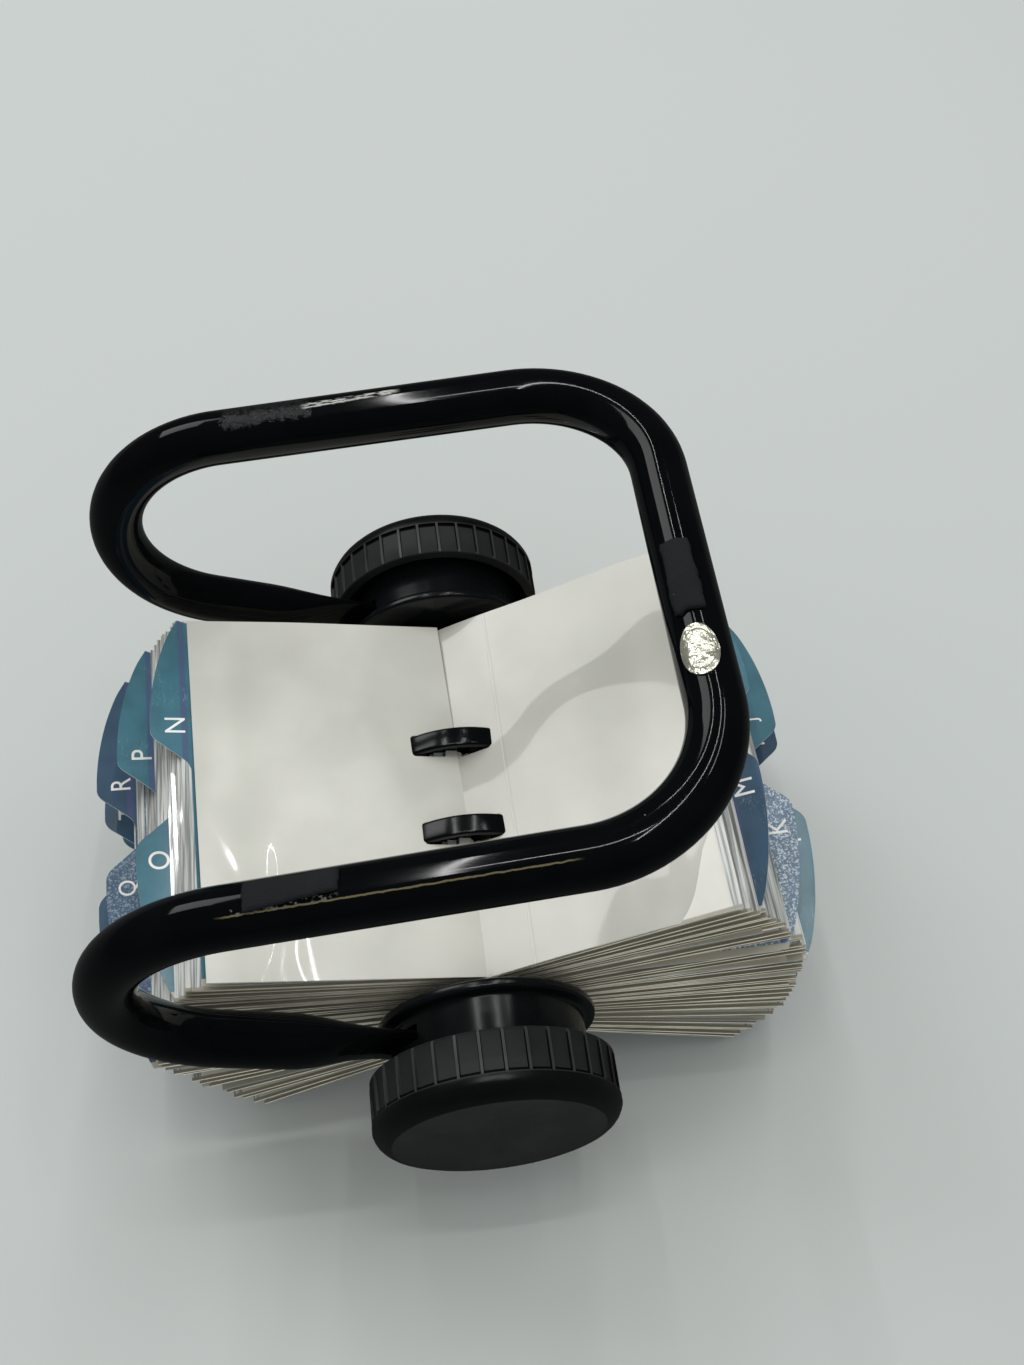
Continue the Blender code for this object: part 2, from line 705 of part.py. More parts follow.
def pad_mesh(seat):
    """A strip of foam that hugs the top of the tube."""
    centre, out, across, along = seat
    outline = []
    for radius, order in ((PAD_INNER, 1.0), (PAD_OUTER, -1.0)):
        for step in range(PAD_STEPS + 1):
            turn = math.radians(PAD_HALF_ANGLE) * order * (2.0 * step / PAD_STEPS - 1.0)
            outline.append((radius * math.cos(turn), radius * math.sin(turn)))
    return prism(outline, PAD_LENGTH, lambda u, v, w: centre + out * u + across * v + along * w)


def label_mesh(seat):
    """A thin bare oval wrapped over the tube."""
    centre, out, across, along = seat
    work = bmesh.new()
    rows = []
    for step in range(LABEL_STEPS + 1):
        share = math.sin(math.radians(84.0) * (2.0 * step / LABEL_STEPS - 1.0))
        half = LABEL_HALF_LENGTH * math.sqrt(1.0 - share * share)
        turn = share * LABEL_HALF_WIDTH / LABEL_INNER
        row = []
        for radius in (LABEL_INNER, LABEL_OUTER):
            for end in (-1.0, 1.0):
                spot = out * (radius * math.cos(turn)) + across * (radius * math.sin(turn)) + along * (half * end)
                row.append(work.verts.new(centre + spot))
        rows.append(row)
    for first, second in zip(rows, rows[1:]):
        for low, high in ((0, 1), (1, 3), (3, 2), (2, 0)):
            work.faces.new((first[low], first[high], second[high], second[low]))
    for row in (rows[0], rows[-1]):
        work.faces.new((row[0], row[1], row[3], row[2]))
    bmesh.ops.recalc_face_normals(work, faces=work.faces)
    mesh = bpy.data.meshes.new("label")
    work.to_mesh(mesh)
    work.free()
    return mesh


def build_feet(shop):
    """The two foot pads and the bare oval label."""
    shop.add("foot_pad_front", pad_mesh(on_arm(FRONT_PAD_PLACE)), "pad_grey")
    shop.add("foot_pad_cross", pad_mesh(on_crossbar(CROSS_PAD_PLACE, CROSS_PAD_ROLL)), "pad_grey")
    shop.add("oval_label", label_mesh(on_crossbar(LABEL_PLACE, LABEL_ROLL)), "foil")


def seat_on_ground(shop):
    """Move everything so the origin is the middle of the footprint, on the ground."""
    corners = []
    for item in shop.parts.objects:
        corners += [item.location + vertex.co for vertex in item.data.vertices]
    low = Vector([min(corner[axis] for corner in corners) for axis in range(3)])
    high = Vector([max(corner[axis] for corner in corners) for axis in range(3)])
    shift = Vector((-(low.x + high.x) / 2.0, -(low.y + high.y) / 2.0, -low.z))
    axle = bpy.data.objects.new("axle_axis", None)
    shop.parts.objects.link(axle)
    for item in shop.parts.objects:
        item.location = item.location + shift
    print("shift", [round(value, 7) for value in shift], "low", list(low), "high", list(high))
    return axle


def hang_on_axle(axle, shop):
    """Parent the spinning pieces to the empty on the axle."""
    bpy.context.view_layer.update()
    for name in ("shaft", "drum_core", "rail_front", "rail_back", "knob_front", "knob_back",
                 "friction_washer", "clutch_spring"):
        item = shop.parts.objects[name]
        item.parent = axle
        item.matrix_parent_inverse = Matrix.Translation(-axle.location)


def main():
    """Build the object piece by piece."""
    clear_scene()
    shop = Shop()
    build_stand(shop)
    build_collars(shop)
    build_drum(shop)
    build_knobs(shop)
    build_feet(shop)
    build_side(shop, LEFT_STACK, LEFT_LIFTS, LEFT_REACH_SHARES, -1.0)
    build_side(shop, RIGHT_STACK, RIGHT_LIFTS, RIGHT_REACH_SHARES, 1.0)
    axle = seat_on_ground(shop)
    hang_on_axle(axle, shop)
    total = 0
    for item in shop.parts.objects:
        if item.type == "MESH":
            count = sum(len(face.vertices) - 2 for face in item.data.polygons)
            total += count
            print("tri", item.name, count)
    print("total", total, "nodes", len([1 for item in shop.parts.objects if item.type == "MESH"]))


main()
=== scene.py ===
"""Rotary card file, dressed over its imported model.

The object lies upside down as in the photograph: it rests on its two fans of card sleeves with
the base loop of the stand up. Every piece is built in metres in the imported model's own frame.
"""

import json
import logging
import math
from dataclasses import dataclass, field, replace
from enum import Enum

import bmesh
import bpy
import numpy as np
from bpy.types import Material, Mesh, Node, NodeSocket, NodeTree, Object
from mathutils import Matrix, Vector


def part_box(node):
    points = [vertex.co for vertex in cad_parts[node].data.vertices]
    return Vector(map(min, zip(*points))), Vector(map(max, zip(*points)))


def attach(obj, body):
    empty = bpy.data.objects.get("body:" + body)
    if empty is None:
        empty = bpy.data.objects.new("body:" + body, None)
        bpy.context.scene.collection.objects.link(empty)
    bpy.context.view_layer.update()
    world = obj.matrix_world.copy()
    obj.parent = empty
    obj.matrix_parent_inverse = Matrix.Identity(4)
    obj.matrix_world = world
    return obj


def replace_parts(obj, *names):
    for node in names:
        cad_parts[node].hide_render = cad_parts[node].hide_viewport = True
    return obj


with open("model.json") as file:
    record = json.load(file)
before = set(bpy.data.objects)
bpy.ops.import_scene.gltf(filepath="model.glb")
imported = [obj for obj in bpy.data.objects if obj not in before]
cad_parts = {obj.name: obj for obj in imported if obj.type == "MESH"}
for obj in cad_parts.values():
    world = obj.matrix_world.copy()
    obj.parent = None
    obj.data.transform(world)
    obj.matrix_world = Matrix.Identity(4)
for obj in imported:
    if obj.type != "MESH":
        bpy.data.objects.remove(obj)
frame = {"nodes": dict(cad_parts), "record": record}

logging.basicConfig(level=logging.INFO, format="%(message)s")
LOG = logging.getLogger("card_file")

Pair = tuple[float, float]
Triple = tuple[float, float, float]
Outline = list[Pair]
Seat = tuple[Vector, Vector, Vector, Vector]
Band = tuple[float, float, float, float]

MERGE = 1e-7
NO_AREA = 1e-8
ENDS = (("front", -1.0), ("back", 1.0))


class Side(Enum):
    """Which fan a leaf hangs in: the value is the sign of its outward direction along X."""

    LEFT = -1.0
    RIGHT = 1.0


class Row(Enum):
    """Where a leaf's index tab stands along the card."""

    NONE = "none"
    BACK = "back"
    FRONT = "front"


class Ink(Enum):
    """The printed colour of an index guide; the glinting ones also carry painted glints."""

    TEAL = "teal"
    NAVY = "navy"
    GLITTER = "glitter"
    SHIMMER = "shimmer"


def axle_point() -> Vector:
    """The middle of the axle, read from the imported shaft."""
    low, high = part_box("shaft")
    return (low + high) / 2.0


def upright(x: float, z: float) -> Vector:
    """A vector in the plane that stands across the axle."""
    return Vector((x, 0.0, z))


AXLE = axle_point()


# Meshes


class Maker:
    """Turns points, profiles and outlines into finished piece objects."""

    @staticmethod
    def linked(name: str, data: object) -> Object:
        """Make an object in the scene, at the origin."""
        item = bpy.data.objects.new(name, data)
        bpy.context.scene.collection.objects.link(item)
        return item

    @staticmethod
    def opened(*meshes: Mesh) -> bmesh.types.BMesh:
        """One editable mesh of the meshes given."""
        work = bmesh.new()
        for mesh in meshes:
            work.from_mesh(mesh)
        return work

    @staticmethod
    def written(work: bmesh.types.BMesh, mesh: Mesh) -> Mesh:
        """Write an editable mesh into a mesh and free it."""
        work.to_mesh(mesh)
        work.free()
        return mesh

    @staticmethod
    def points(mesh: Mesh) -> np.ndarray:
        """The points of a mesh, one in each row."""
        return np.array([v.co for v in mesh.vertices], float)

    @staticmethod
    def moved(mesh: Mesh, points: np.ndarray) -> Mesh:
        """Give the points of a mesh new places."""
        mesh.vertices.foreach_set("co", points.ravel())
        mesh.update()
        return mesh

    @staticmethod
    def piece(name: str, mesh: Mesh, *materials: Material, angle: float = 32.0) -> Object:
        """Link a mesh as an object at the origin, shade it and add its materials.

        Args:
            name: the object's name.
            mesh: the mesh, already in the row frame.
            materials: the material slots to add to those that the mesh has.
            angle: edges sharper than this angle in degrees stay crisp.

        Returns:
            The new object.
        """
        mesh.name = name
        item = Maker.linked(name, mesh)
        work = Maker.opened(mesh)
        limit = math.radians(angle)
        for face in work.faces:
            face.smooth = True
        for edge in work.edges:
            edge.smooth = len(edge.link_faces) == 2 and edge.calc_face_angle(0.0) < limit
        Maker.written(work, mesh)
        for material in materials:
            mesh.materials.append(material)
        LOG.info("%s: %d faces", name, len(mesh.polygons))
        return item

    @staticmethod
    def surface(points: np.ndarray, faces: list[tuple[int, ...]]) -> Mesh:
        """Make a mesh from points and faces."""
        mesh = bpy.data.meshes.new("surface")
        mesh.from_pydata([tuple(p) for p in points], [], faces)
        mesh.update()
        return mesh

    @staticmethod
    def outward(mesh: Mesh, dissolve: bool = False) -> Mesh:
        """Merge doubles and point every face of a closed mesh outwards.

        Args:
            mesh: the mesh to tidy in place.
            dissolve: whether faces without area go too.

        Returns:
            The same mesh.
        """
        work = Maker.opened(mesh)
        bmesh.ops.remove_doubles(work, verts=work.verts, dist=MERGE)
        if dissolve:
            bmesh.ops.dissolve_degenerate(work, edges=work.edges, dist=NO_AREA)
        bmesh.ops.recalc_face_normals(work, faces=work.faces)
        return Maker.written(work, mesh)

    @staticmethod
    def baked(item: Object) -> Mesh:
        """Apply an object's modifiers into a new plain mesh and drop the object.

        Args:
            item: the object with its live modifiers.

        Returns:
            The evaluated mesh.
        """
        bpy.context.view_layer.update()
        graph = bpy.context.evaluated_depsgraph_get()
        mesh = bpy.data.meshes.new_from_object(item.evaluated_get(graph))
        item.modifiers.clear()
        bpy.data.objects.remove(item, do_unlink=True)
        return mesh

    @classmethod
    def cut(cls, mesh: Mesh, cutter: Mesh) -> Mesh:
        """Take the cutter out of a mesh with an exact Boolean.

        Args:
            mesh: the closed mesh to cut.
            cutter: the closed mesh to take away.

        Returns:
            The cut mesh.
        """
        body, tool = cls.linked("cut_body", mesh), cls.linked("cut_tool", cutter)
        change = body.modifiers.new("cut", "BOOLEAN")
        change.operation = "DIFFERENCE"
        change.solver = "EXACT"
        change.object = tool
        result = cls.baked(body)
        bpy.data.objects.remove(tool, do_unlink=True)
        return result

    @staticmethod
    def turned(rings: list[Outline], turns: list[float], end: float, closed: bool) -> Mesh:
        """Join profiles of (radius, distance along Y), each at its own turn about the axle.

        Args:
            rings: the profile of every step.
            turns: the angle of every step.
            end: 1 for the back end of the axle, -1 for the front end.
            closed: whether a profile's last point is joined to its first.

        Returns:
            A mesh in the row frame.
        """
        points, faces, count = [], [], len(rings[0])
        for ring, turn in zip(rings, turns):
            points += [(radius * math.cos(turn), end * along, radius * math.sin(turn)) for radius, along in ring]
        for step in range(len(rings)):
            here, after = step * count, (step + 1) % len(rings) * count
            for index in range(count if closed else count - 1):
                later = (index + 1) % count
                faces.append((here + index, here + later, after + later, after + index))
        return Maker.surface(np.array(points) + np.array(AXLE), faces)

    @classmethod
    def lathe(cls, profile: Outline, steps: int, end: float = 1.0) -> Mesh:
        """Turn one closed profile about the axle, in equal steps."""
        turns = [math.tau * step / steps for step in range(steps)]
        return cls.outward(cls.turned([profile] * steps, turns, end, True), dissolve=True)


def rounded(profile: Outline, radii: list[float], steps: int = 4) -> Outline:
    """Round the corners of a closed profile.

    Args:
        profile: the sharp corners in order.
        radii: how much of each corner is rounded.
        steps: how many steps each rounded corner takes.

    Returns:
        The points of the rounded profile.
    """
    result: Outline = []
    for index, radius in enumerate(radii):
        corner = Vector(profile[index])
        before = Vector(profile[index - 1]) - corner
        after = Vector(profile[(index + 1) % len(profile)]) - corner
        start = corner + before.normalized() * min(radius, before.length * 0.48)
        end = corner + after.normalized() * min(radius, after.length * 0.48)
        for step in range(steps + 1):
            t = step / steps
            result.append(tuple(start * (1 - t) ** 2 + corner * 2 * t * (1 - t) + end * t ** 2))
    return result


# Node trees


class Nodes:
    """A small builder round one node tree."""

    def __init__(self, tree: NodeTree) -> None:
        """Keep the tree that the nodes go in."""
        self.tree = tree

    def node(self, kind: str, settings: dict[str, object] | None = None, **values: object) -> Node:
        """Add a node, set its properties, and feed its inputs by name.

        Args:
            kind: the node's type name.
            settings: properties to set before its inputs are fed.
            values: inputs by name, with _ for a space; a socket is linked and a plain value is set.

        Returns:
            The node.
        """
        made = self.tree.nodes.new(kind)
        for key, value in (settings or {}).items():
            setattr(made, key, value)
        for key, value in values.items():
            label = key.replace("_", " ")
            self.feed(next(i for i in made.inputs if i.name == label and i.enabled), value)
        return made

    def feed(self, socket: NodeSocket, value: object) -> None:
        """Link an output to a socket, or set the socket's own value."""
        if isinstance(value, NodeSocket):
            self.tree.links.new(value, socket)
        else:
            socket.default_value = value

    def math(self, operation: str, *values: object, clamp: bool = False) -> NodeSocket:
        """A Math node of one or two values."""
        made = self.node("ShaderNodeMath", {"operation": operation, "use_clamp": clamp})
        for socket, value in zip(made.inputs, values):
            self.feed(socket, value)
        return made.outputs[0]

    def times(self, first: object, *others: object) -> NodeSocket:
        """The product of two or more values."""
        for other in others:
            first = self.math("MULTIPLY", first, other)
        return first


class Growth(Nodes):
    """A builder of one Geometry Nodes tree."""

    def __init__(self, name: str, inputs: dict[str, str]) -> None:
        """Start a tree.

        Args:
            name: the tree's name.
            inputs: its inputs after the geometry, each with its socket kind.
        """
        super().__init__(bpy.data.node_groups.new(name, "GeometryNodeTree"))
        face = self.tree.interface
        for label, kind in ({"Geometry": "Geometry"} | inputs).items():
            face.new_socket(name=label, in_out="INPUT", socket_type="NodeSocket" + kind)
        face.new_socket(name="Geometry", in_out="OUTPUT", socket_type="NodeSocketGeometry")
        self.given = self.tree.nodes.new("NodeGroupInput").outputs

    def vector(self, x: object, y: object, z: object) -> NodeSocket:
        """A vector of three values."""
        return self.node("ShaderNodeCombineXYZ", X=x, Y=y, Z=z).outputs[0]

    def random(self, spread: str, shift: float) -> NodeSocket:
        """A random value for each point between minus and plus an input, from the input Seed and a shift."""
        seed = self.math("ADD", self.given["Seed"], shift)
        dice = self.node("FunctionNodeRandomValue", {"data_type": "FLOAT"}, Min=-1.0, Max=1.0, Seed=seed)
        return self.times(dice.outputs[1], self.given[spread])

    def closed(self, geometry: NodeSocket, finish: NodeSocket, edge: NodeSocket | None = None) -> NodeTree:
        """Realize the geometry, set its materials and end the tree.

        Args:
            geometry: what the tree has made.
            finish: the material of every face.
            edge: the material of the faces that look sideways, if they have their own.

        Returns:
            The finished tree.
        """
        real = self.node("GeometryNodeRealizeInstances", Geometry=geometry).outputs[0]
        paint = self.node("GeometryNodeSetMaterial", Geometry=real, Material=finish).outputs[0]
        if edge is not None:
            normal = self.node("ShaderNodeSeparateXYZ", Vector=self.node("GeometryNodeInputNormal").outputs[0])
            side = self.node("FunctionNodeCompare", {"data_type": "FLOAT", "operation": "LESS_THAN"}, B=0.5)
            self.feed(side.inputs[0], self.math("ABSOLUTE", normal.outputs["Z"]))
            rims = {"Geometry": paint, "Selection": side.outputs[0], "Material": edge}
            paint = self.node("GeometryNodeSetMaterial", **rims).outputs[0]
        self.node("NodeGroupOutput", Geometry=paint)
        return self.tree

    @staticmethod
    def use(item: Object, tree: NodeTree, **values: object) -> Mesh:
        """Grow an object's mesh by a tree, with the tree's inputs set by name.

        Args:
            item: the object that holds the tree's own geometry; it is dropped.
            tree: the tree.
            values: the tree's inputs.

        Returns:
            The grown mesh.
        """
        change = item.modifiers.new(tree.name, "NODES")
        change.node_group = tree
        names = {s.name: s.identifier for s in tree.interface.items_tree if s.in_out == "INPUT"}
        for key, value in values.items():
            change[names[key]] = value
        return Maker.baked(item)


class Shader(Nodes):
    """A builder of one material's or shader group's tree."""

    @classmethod
    def start(cls, name: str) -> tuple[Material, "Shader"]:
        """A new material, and the builder of its tree."""
        material = bpy.data.materials.new(name)
        material.use_nodes = True
        return material, cls(material.node_tree)

    def skin(self, **values: object) -> None:
        """Feed the Principled shader's inputs by name, with _ for a space."""
        for name, value in values.items():
            self.feed(self.tree.nodes["Principled BSDF"].inputs[name.replace("_", " ")], value)

    def noise(self, vector: object, scale: float, detail: float = 2.0, bend: float = 0.0) -> NodeSocket:
        """The value of a noise texture."""
        values = {"Vector": vector, "Scale": scale, "Detail": detail, "Distortion": bend}
        return self.node("ShaderNodeTexNoise", **values).outputs[0]

    def cells(self, vector: object, scale: float) -> NodeSocket:
        """The outputs of a Voronoi texture."""
        return self.node("ShaderNodeTexVoronoi", {"feature": "F1"}, Vector=vector, Scale=scale).outputs

    def span(self, value: object, low: float, high: float, to_low: float = 0.0, to_high: float = 1.0) -> NodeSocket:
        """Map one range of a value on another, clamped and eased."""
        ends = {"From_Min": low, "From_Max": high, "To_Min": to_low, "To_Max": to_high}
        return self.node("ShaderNodeMapRange", {"interpolation_type": "SMOOTHSTEP"}, Value=value, **ends).outputs[0]

    def mix(self, share: object, first: object, second: object) -> NodeSocket:
        """Mix two colours."""
        made = self.node("ShaderNodeMix", {"data_type": "RGBA"})
        self.feed(made.inputs[0], share)
        for socket, colour in zip(made.inputs[6:8], (first, second)):
            self.feed(socket, (*colour, 1.0) if isinstance(colour, tuple) else colour)
        return made.outputs[2]

    def layered(self, base: NodeSocket, layers: list[tuple[NodeSocket, object]]) -> NodeSocket:
        """Lay colours over a base, each by its own mask."""
        for mask, colour in layers:
            base = self.mix(mask, base, colour)
        return base

    def clouded(self, cloud: object, colour: Triple, low: float, high: float = 1.0, soft: float = 0.2) -> NodeSocket:
        """A colour that drifts between a darker and a lighter share of itself."""
        shades = [tuple(min(part * share, 1.0) for part in colour) for share in (low, high)]
        return self.mix(self.span(cloud, 0.5 - soft, 0.5 + soft), *shades)

    def bump(self, height: object, distance: float) -> NodeSocket:
        """A bump normal from a height."""
        return self.node("ShaderNodeBump", Distance=distance, Height=height).outputs["Normal"]

    def scaled(self, vector: object, scale: Triple) -> NodeSocket:
        """A vector with each part times its own number."""
        return self.node("ShaderNodeMapping", Vector=vector, Scale=scale).outputs[0]

    def parts(self, vector: object) -> list[NodeSocket]:
        """The three parts of a vector."""
        return list(self.node("ShaderNodeSeparateXYZ", Vector=vector).outputs)

    def place(self) -> NodeSocket:
        """Object coordinates."""
        return self.node("ShaderNodeTexCoord").outputs["Object"]

    def card(self) -> list[NodeSocket]:
        """A leaf's own flat coordinates in metres: outwards, then along the axle."""
        return self.parts(self.node("ShaderNodeUVMap", {"uv_map": "card"}).outputs[0])

    def band(self, value: object, centre: float, half: float, soft: float) -> NodeSocket:
        """A mask of 1 near a value's centre and 0 beyond its half width."""
        return self.span(self.math("ABSOLUTE", self.math("SUBTRACT", value, centre)), half, half + soft, 1.0, 0.0)

    def group(self, tree: NodeTree, **values: object) -> NodeSocket:
        """The outputs of a shared effect, with its inputs set."""
        return self.node("ShaderNodeGroup", {"node_tree": tree}, **values).outputs

    def glossy_ray(self) -> NodeSocket:
        """1 for what mirrors see and 0 for the camera."""
        return self.node("ShaderNodeLightPath").outputs["Is Glossy Ray"]


# Materials


class Effects:
    """Shared shader effects, each a node group that gives masks and values."""

    def __init__(self) -> None:
        """Build the groups."""
        self.wear = self.group("surface_wear", "Scale", self.worn)
        self.dust = self.group("pale_specks", "Amount", self.specked)

    @staticmethod
    def group(name: str, value: str, masks: object) -> NodeTree:
        """Make a group with a vector, one value and the masks that a method draws from them.

        Args:
            name: the group's name.
            value: the name of its float input.
            masks: the method, which gives each output by its name.

        Returns:
            The group.
        """
        tree = bpy.data.node_groups.new(name, "ShaderNodeTree")
        for label, kind in (("Vector", "NodeSocketVector"), (value, "NodeSocketFloat")):
            tree.interface.new_socket(name=label, in_out="INPUT", socket_type=kind)
        shader = Shader(tree)
        given = shader.node("NodeGroupInput").outputs
        made = masks(shader, given["Vector"], given[value])
        for label in made:
            tree.interface.new_socket(name=label, in_out="OUTPUT", socket_type="NodeSocketFloat")
        shader.node("NodeGroupOutput", **made)
        return tree

    @staticmethod
    def worn(shader: Shader, place: NodeSocket, scale: NodeSocket) -> dict[str, NodeSocket]:
        """Soft clouds and thin scratches over a surface, at the scale given."""
        sized = shader.node("ShaderNodeVectorMath", {"operation": "SCALE"}, Vector=place, Scale=scale).outputs[0]
        lines = shader.noise(shader.scaled(sized, (9.0, 1.2, 5.0)), 1.3, 2.0, 0.6)
        thin = shader.band(lines, 0.5, 0.0, 0.006)
        patch = shader.span(shader.noise(sized, 0.7, 1.0), 0.56, 0.66)
        return {"Cloud": shader.noise(sized, 1.0, 4.0), "Scratch": shader.times(thin, patch)}

    @staticmethod
    def specked(shader: Shader, place: NodeSocket, amount: NodeSocket) -> dict[str, NodeSocket]:
        """Sparse pale specks, in the share of the cells that the amount gives."""
        cells = shader.cells(place, 420.0)
        near = shader.span(cells["Distance"], 0.04, 0.09, 1.0, 0.0)
        chosen = shader.math("LESS_THAN", shader.parts(cells["Color"])[0], amount)
        return {"Speck": shader.times(near, chosen)}


@dataclass(frozen=True)
class Look:
    """What a material looks like."""

    name: str

    def build(self, effects: Effects) -> Material:
        """Make the material.

        Args:
            effects: the shared shader groups.

        Returns:
            The finished material.
        """
        material, shader = Shader.start(self.name)
        self.dress(shader, shader.place(), effects)
        return material

    def dress(self, shader: Shader, place: NodeSocket, effects: Effects) -> None:
        """Feed the material's shader, from object coordinates and the shared groups."""
        raise NotImplementedError


@dataclass(frozen=True)
class Finish(Look):
    """A finish with a base colour, a roughness, grain and a little wear."""

    colour: Triple
    roughness: float
    metallic: float = 0.0
    coat: float = 0.0
    grain: float = 0.0
    grain_scale: float = 4000.0
    dust: float = 0.0
    specular: float = 0.5

    def dress(self, shader: Shader, place: NodeSocket, effects: Effects) -> None:
        """Feed the colour, with its drift and specks, the roughness with its scratches, and the grain."""
        wear = shader.group(effects.wear, Vector=place, Scale=90.0)
        colour = shader.clouded(wear["Cloud"], self.colour, 0.85, 1.12)
        if self.dust:
            speck = shader.group(effects.dust, Vector=place, Amount=self.dust)["Speck"]
            colour = shader.mix(shader.times(speck, 0.5), colour, (0.3, 0.3, 0.29))
        rough = shader.span(wear["Cloud"], 0.25, 0.75, self.roughness * 0.88, min(self.roughness * 1.12, 1.0))
        shader.skin(
            Base_Color=colour, Roughness=shader.math("ADD", rough, shader.times(wear["Scratch"], 0.25), clamp=True),
            Metallic=self.metallic, Specular_IOR_Level=self.specular, Coat_Weight=self.coat, Coat_Roughness=0.06,
        )
        if self.grain:
            shader.skin(Normal=shader.bump(shader.noise(place, self.grain_scale), self.grain))


@dataclass(frozen=True)
class Paint(Finish):
    """The stand's gloss paint, torn on the back arm with a painted highlight streak along it, with glue and flakes on
    the front one.

    Each mark lies where a band along X, measured from the axle, crosses one along Y. A band is its
    centre, its half width, its soft rim and how far the ragged edge shifts it.
    """

    torn: tuple[Band, Band] = ((-0.0362, 0.0094, 0.0012, 1.0), (0.0611, 0.0026, 0.0008, 1.0))
    glue: tuple[Band, Band] = ((-0.016, 0.031, 0.004, 0.0), (-0.06435, 0.0001, 0.00012, 0.12))
    flakes: tuple[Band, Band] = ((-0.0375, 0.0095, 0.001, 0.0), (-0.0637, 0.0004, 0.0003, 0.3))
    painted_highlight_streak: tuple[Band, Band] = ((-0.0165, 0.009, 0.003, 0.0), (0.0607, 0.0005, 0.0005, 0.15))
    loop: float = 0.07

    def mark(self, shader: Shader, edge: NodeSocket, bands: tuple[Band, Band]) -> NodeSocket:
        """A mask of one mark on the base loop.

        Args:
            shader: the material's builder.
            edge: the ragged edge's shift.
            bands: the mark's two bands.

        Returns:
            The mask.
        """
        x, y, z = shader.parts(shader.place())
        mask = shader.math("GREATER_THAN", z, AXLE.z + self.loop)
        for value, origin, (centre, half, soft, ragged) in zip((x, y), (AXLE.x, 0.0), bands):
            shifted = shader.math("ADD", value, shader.times(edge, ragged))
            mask = shader.times(mask, shader.band(shifted, origin + centre, half, soft))
        return mask

    def dress(self, shader: Shader, place: NodeSocket, effects: Effects) -> None:
        """Lay the marks over the plain finish."""
        super().dress(shader, place, effects)
        inputs = shader.tree.nodes["Principled BSDF"].inputs
        base, rough = (inputs[name].links[0].from_socket for name in ("Base Color", "Roughness"))
        ragged = shader.noise(place, 700.0, 4.0)
        edge = shader.times(shader.math("SUBTRACT", ragged, 0.5), 0.004)
        crumbs = shader.span(shader.noise(place, 900.0, 5.0), 0.3, 0.75, 0.35, 1.0)
        chips = shader.span(shader.noise(place, 1100.0, 3.0), 0.52, 0.6)
        highlight_grain = shader.span(shader.noise(shader.scaled(place, (1.0, 6.0, 1.0)), 420.0, 4.0), 0.42, 0.56)
        torn = shader.times(self.mark(shader, edge, self.torn), crumbs)
        colour = shader.layered(base, [
            (torn, (0.012, 0.013, 0.014)),
            (shader.times(self.mark(shader, edge, self.glue), 0.8), (0.17, 0.14, 0.08)),
            (shader.times(self.mark(shader, edge, self.flakes), chips), (0.12, 0.12, 0.11)),
            # A pale streak along the back arm: a painted highlight, the reflection of a lamp on the gloss paint.
            (shader.times(self.mark(shader, edge, self.painted_highlight_streak), highlight_grain), (0.5, 0.5, 0.47)),
        ])
        shader.skin(
            Base_Color=colour, Roughness=shader.math("ADD", rough, shader.times(torn, 0.35), clamp=True),
            Normal=shader.bump(shader.times(torn, ragged), 0.0003),
        )


@dataclass(frozen=True)
class Film(Look):
    """A clear sleeve over a white card: bare film shows past the card's outer edge and at the weld."""

    card: Triple
    weld: float = 0.014
    margin: float = 0.0642
    ripple: float = 0.0005
    painted_fold_shade: float = 0.0
    painted_front_edge_shade: bool = False

    def dress(self, shader: Shader, place: NodeSocket, effects: Effects) -> None:
        """Lay painted fold shade, bare film with painted highlight streaks, the weld with a painted shade line beside
        it and a painted shade at the front edge over the card, under a rippled coat.
        """
        u, v, _ = shader.card()
        wear = shader.group(effects.wear, Vector=place, Scale=60.0)
        base = shader.clouded(wear["Cloud"], self.card, 0.93, soft=0.15)
        # The bare film past the card's edge: a grey film tone with pale streaks that are painted highlights.
        film_highlight_streaks = shader.noise(shader.scaled(place, (60.0, 1.5, 40.0)), 30.0, 2.0)
        clear = shader.mix(shader.span(film_highlight_streaks, 0.35, 0.65), (0.2, 0.21, 0.2), (0.66, 0.68, 0.66))
        weld = shader.band(u, self.weld, 0.00012, 0.0001)
        shade = shader.band(u, self.weld + 0.0005, 0.00015, 0.0002)
        layers = [
            (shader.span(u, self.margin, self.margin + 0.0004), clear),
            (shader.times(weld, 0.35), (0.78, 0.78, 0.76)),
            (shader.times(shade, 0.22), (0.3, 0.3, 0.28)),
        ]
        if self.painted_fold_shade:
            # Soft darker bands: painted shade of the page's waves.
            fold_shade_noise = shader.noise(shader.scaled(place, (1.0, 0.6, 1.0)), 26.0, 1.0, 0.8)
            layers.insert(0, (shader.span(fold_shade_noise, 0.4, 0.66, self.painted_fold_shade, 0.0), (0.36, 0.36, 0.3)))
        if self.painted_front_edge_shade:
            # A thin brownish line along the front edge: painted shade.
            layers.append((shader.span(shader.times(v, -1.0), 0.0498, 0.0502), (0.27, 0.245, 0.18)))
        calm = shader.span(v, -0.012, 0.008, 1.0, 0.1)
        waves = shader.times(shader.noise(shader.scaled(place, (1.0, 0.3, 1.0)), 60.0, 1.0, 1.0), calm)
        height = shader.math("ADD", waves, shader.times(weld, 0.2))
        shader.skin(
            Base_Color=shader.layered(base, layers), Roughness=0.34, Coat_Weight=0.8, Coat_Roughness=0.05,
            Coat_Normal=shader.bump(height, self.ripple), Normal=shader.bump(height, 0.4 * self.ripple),
        )


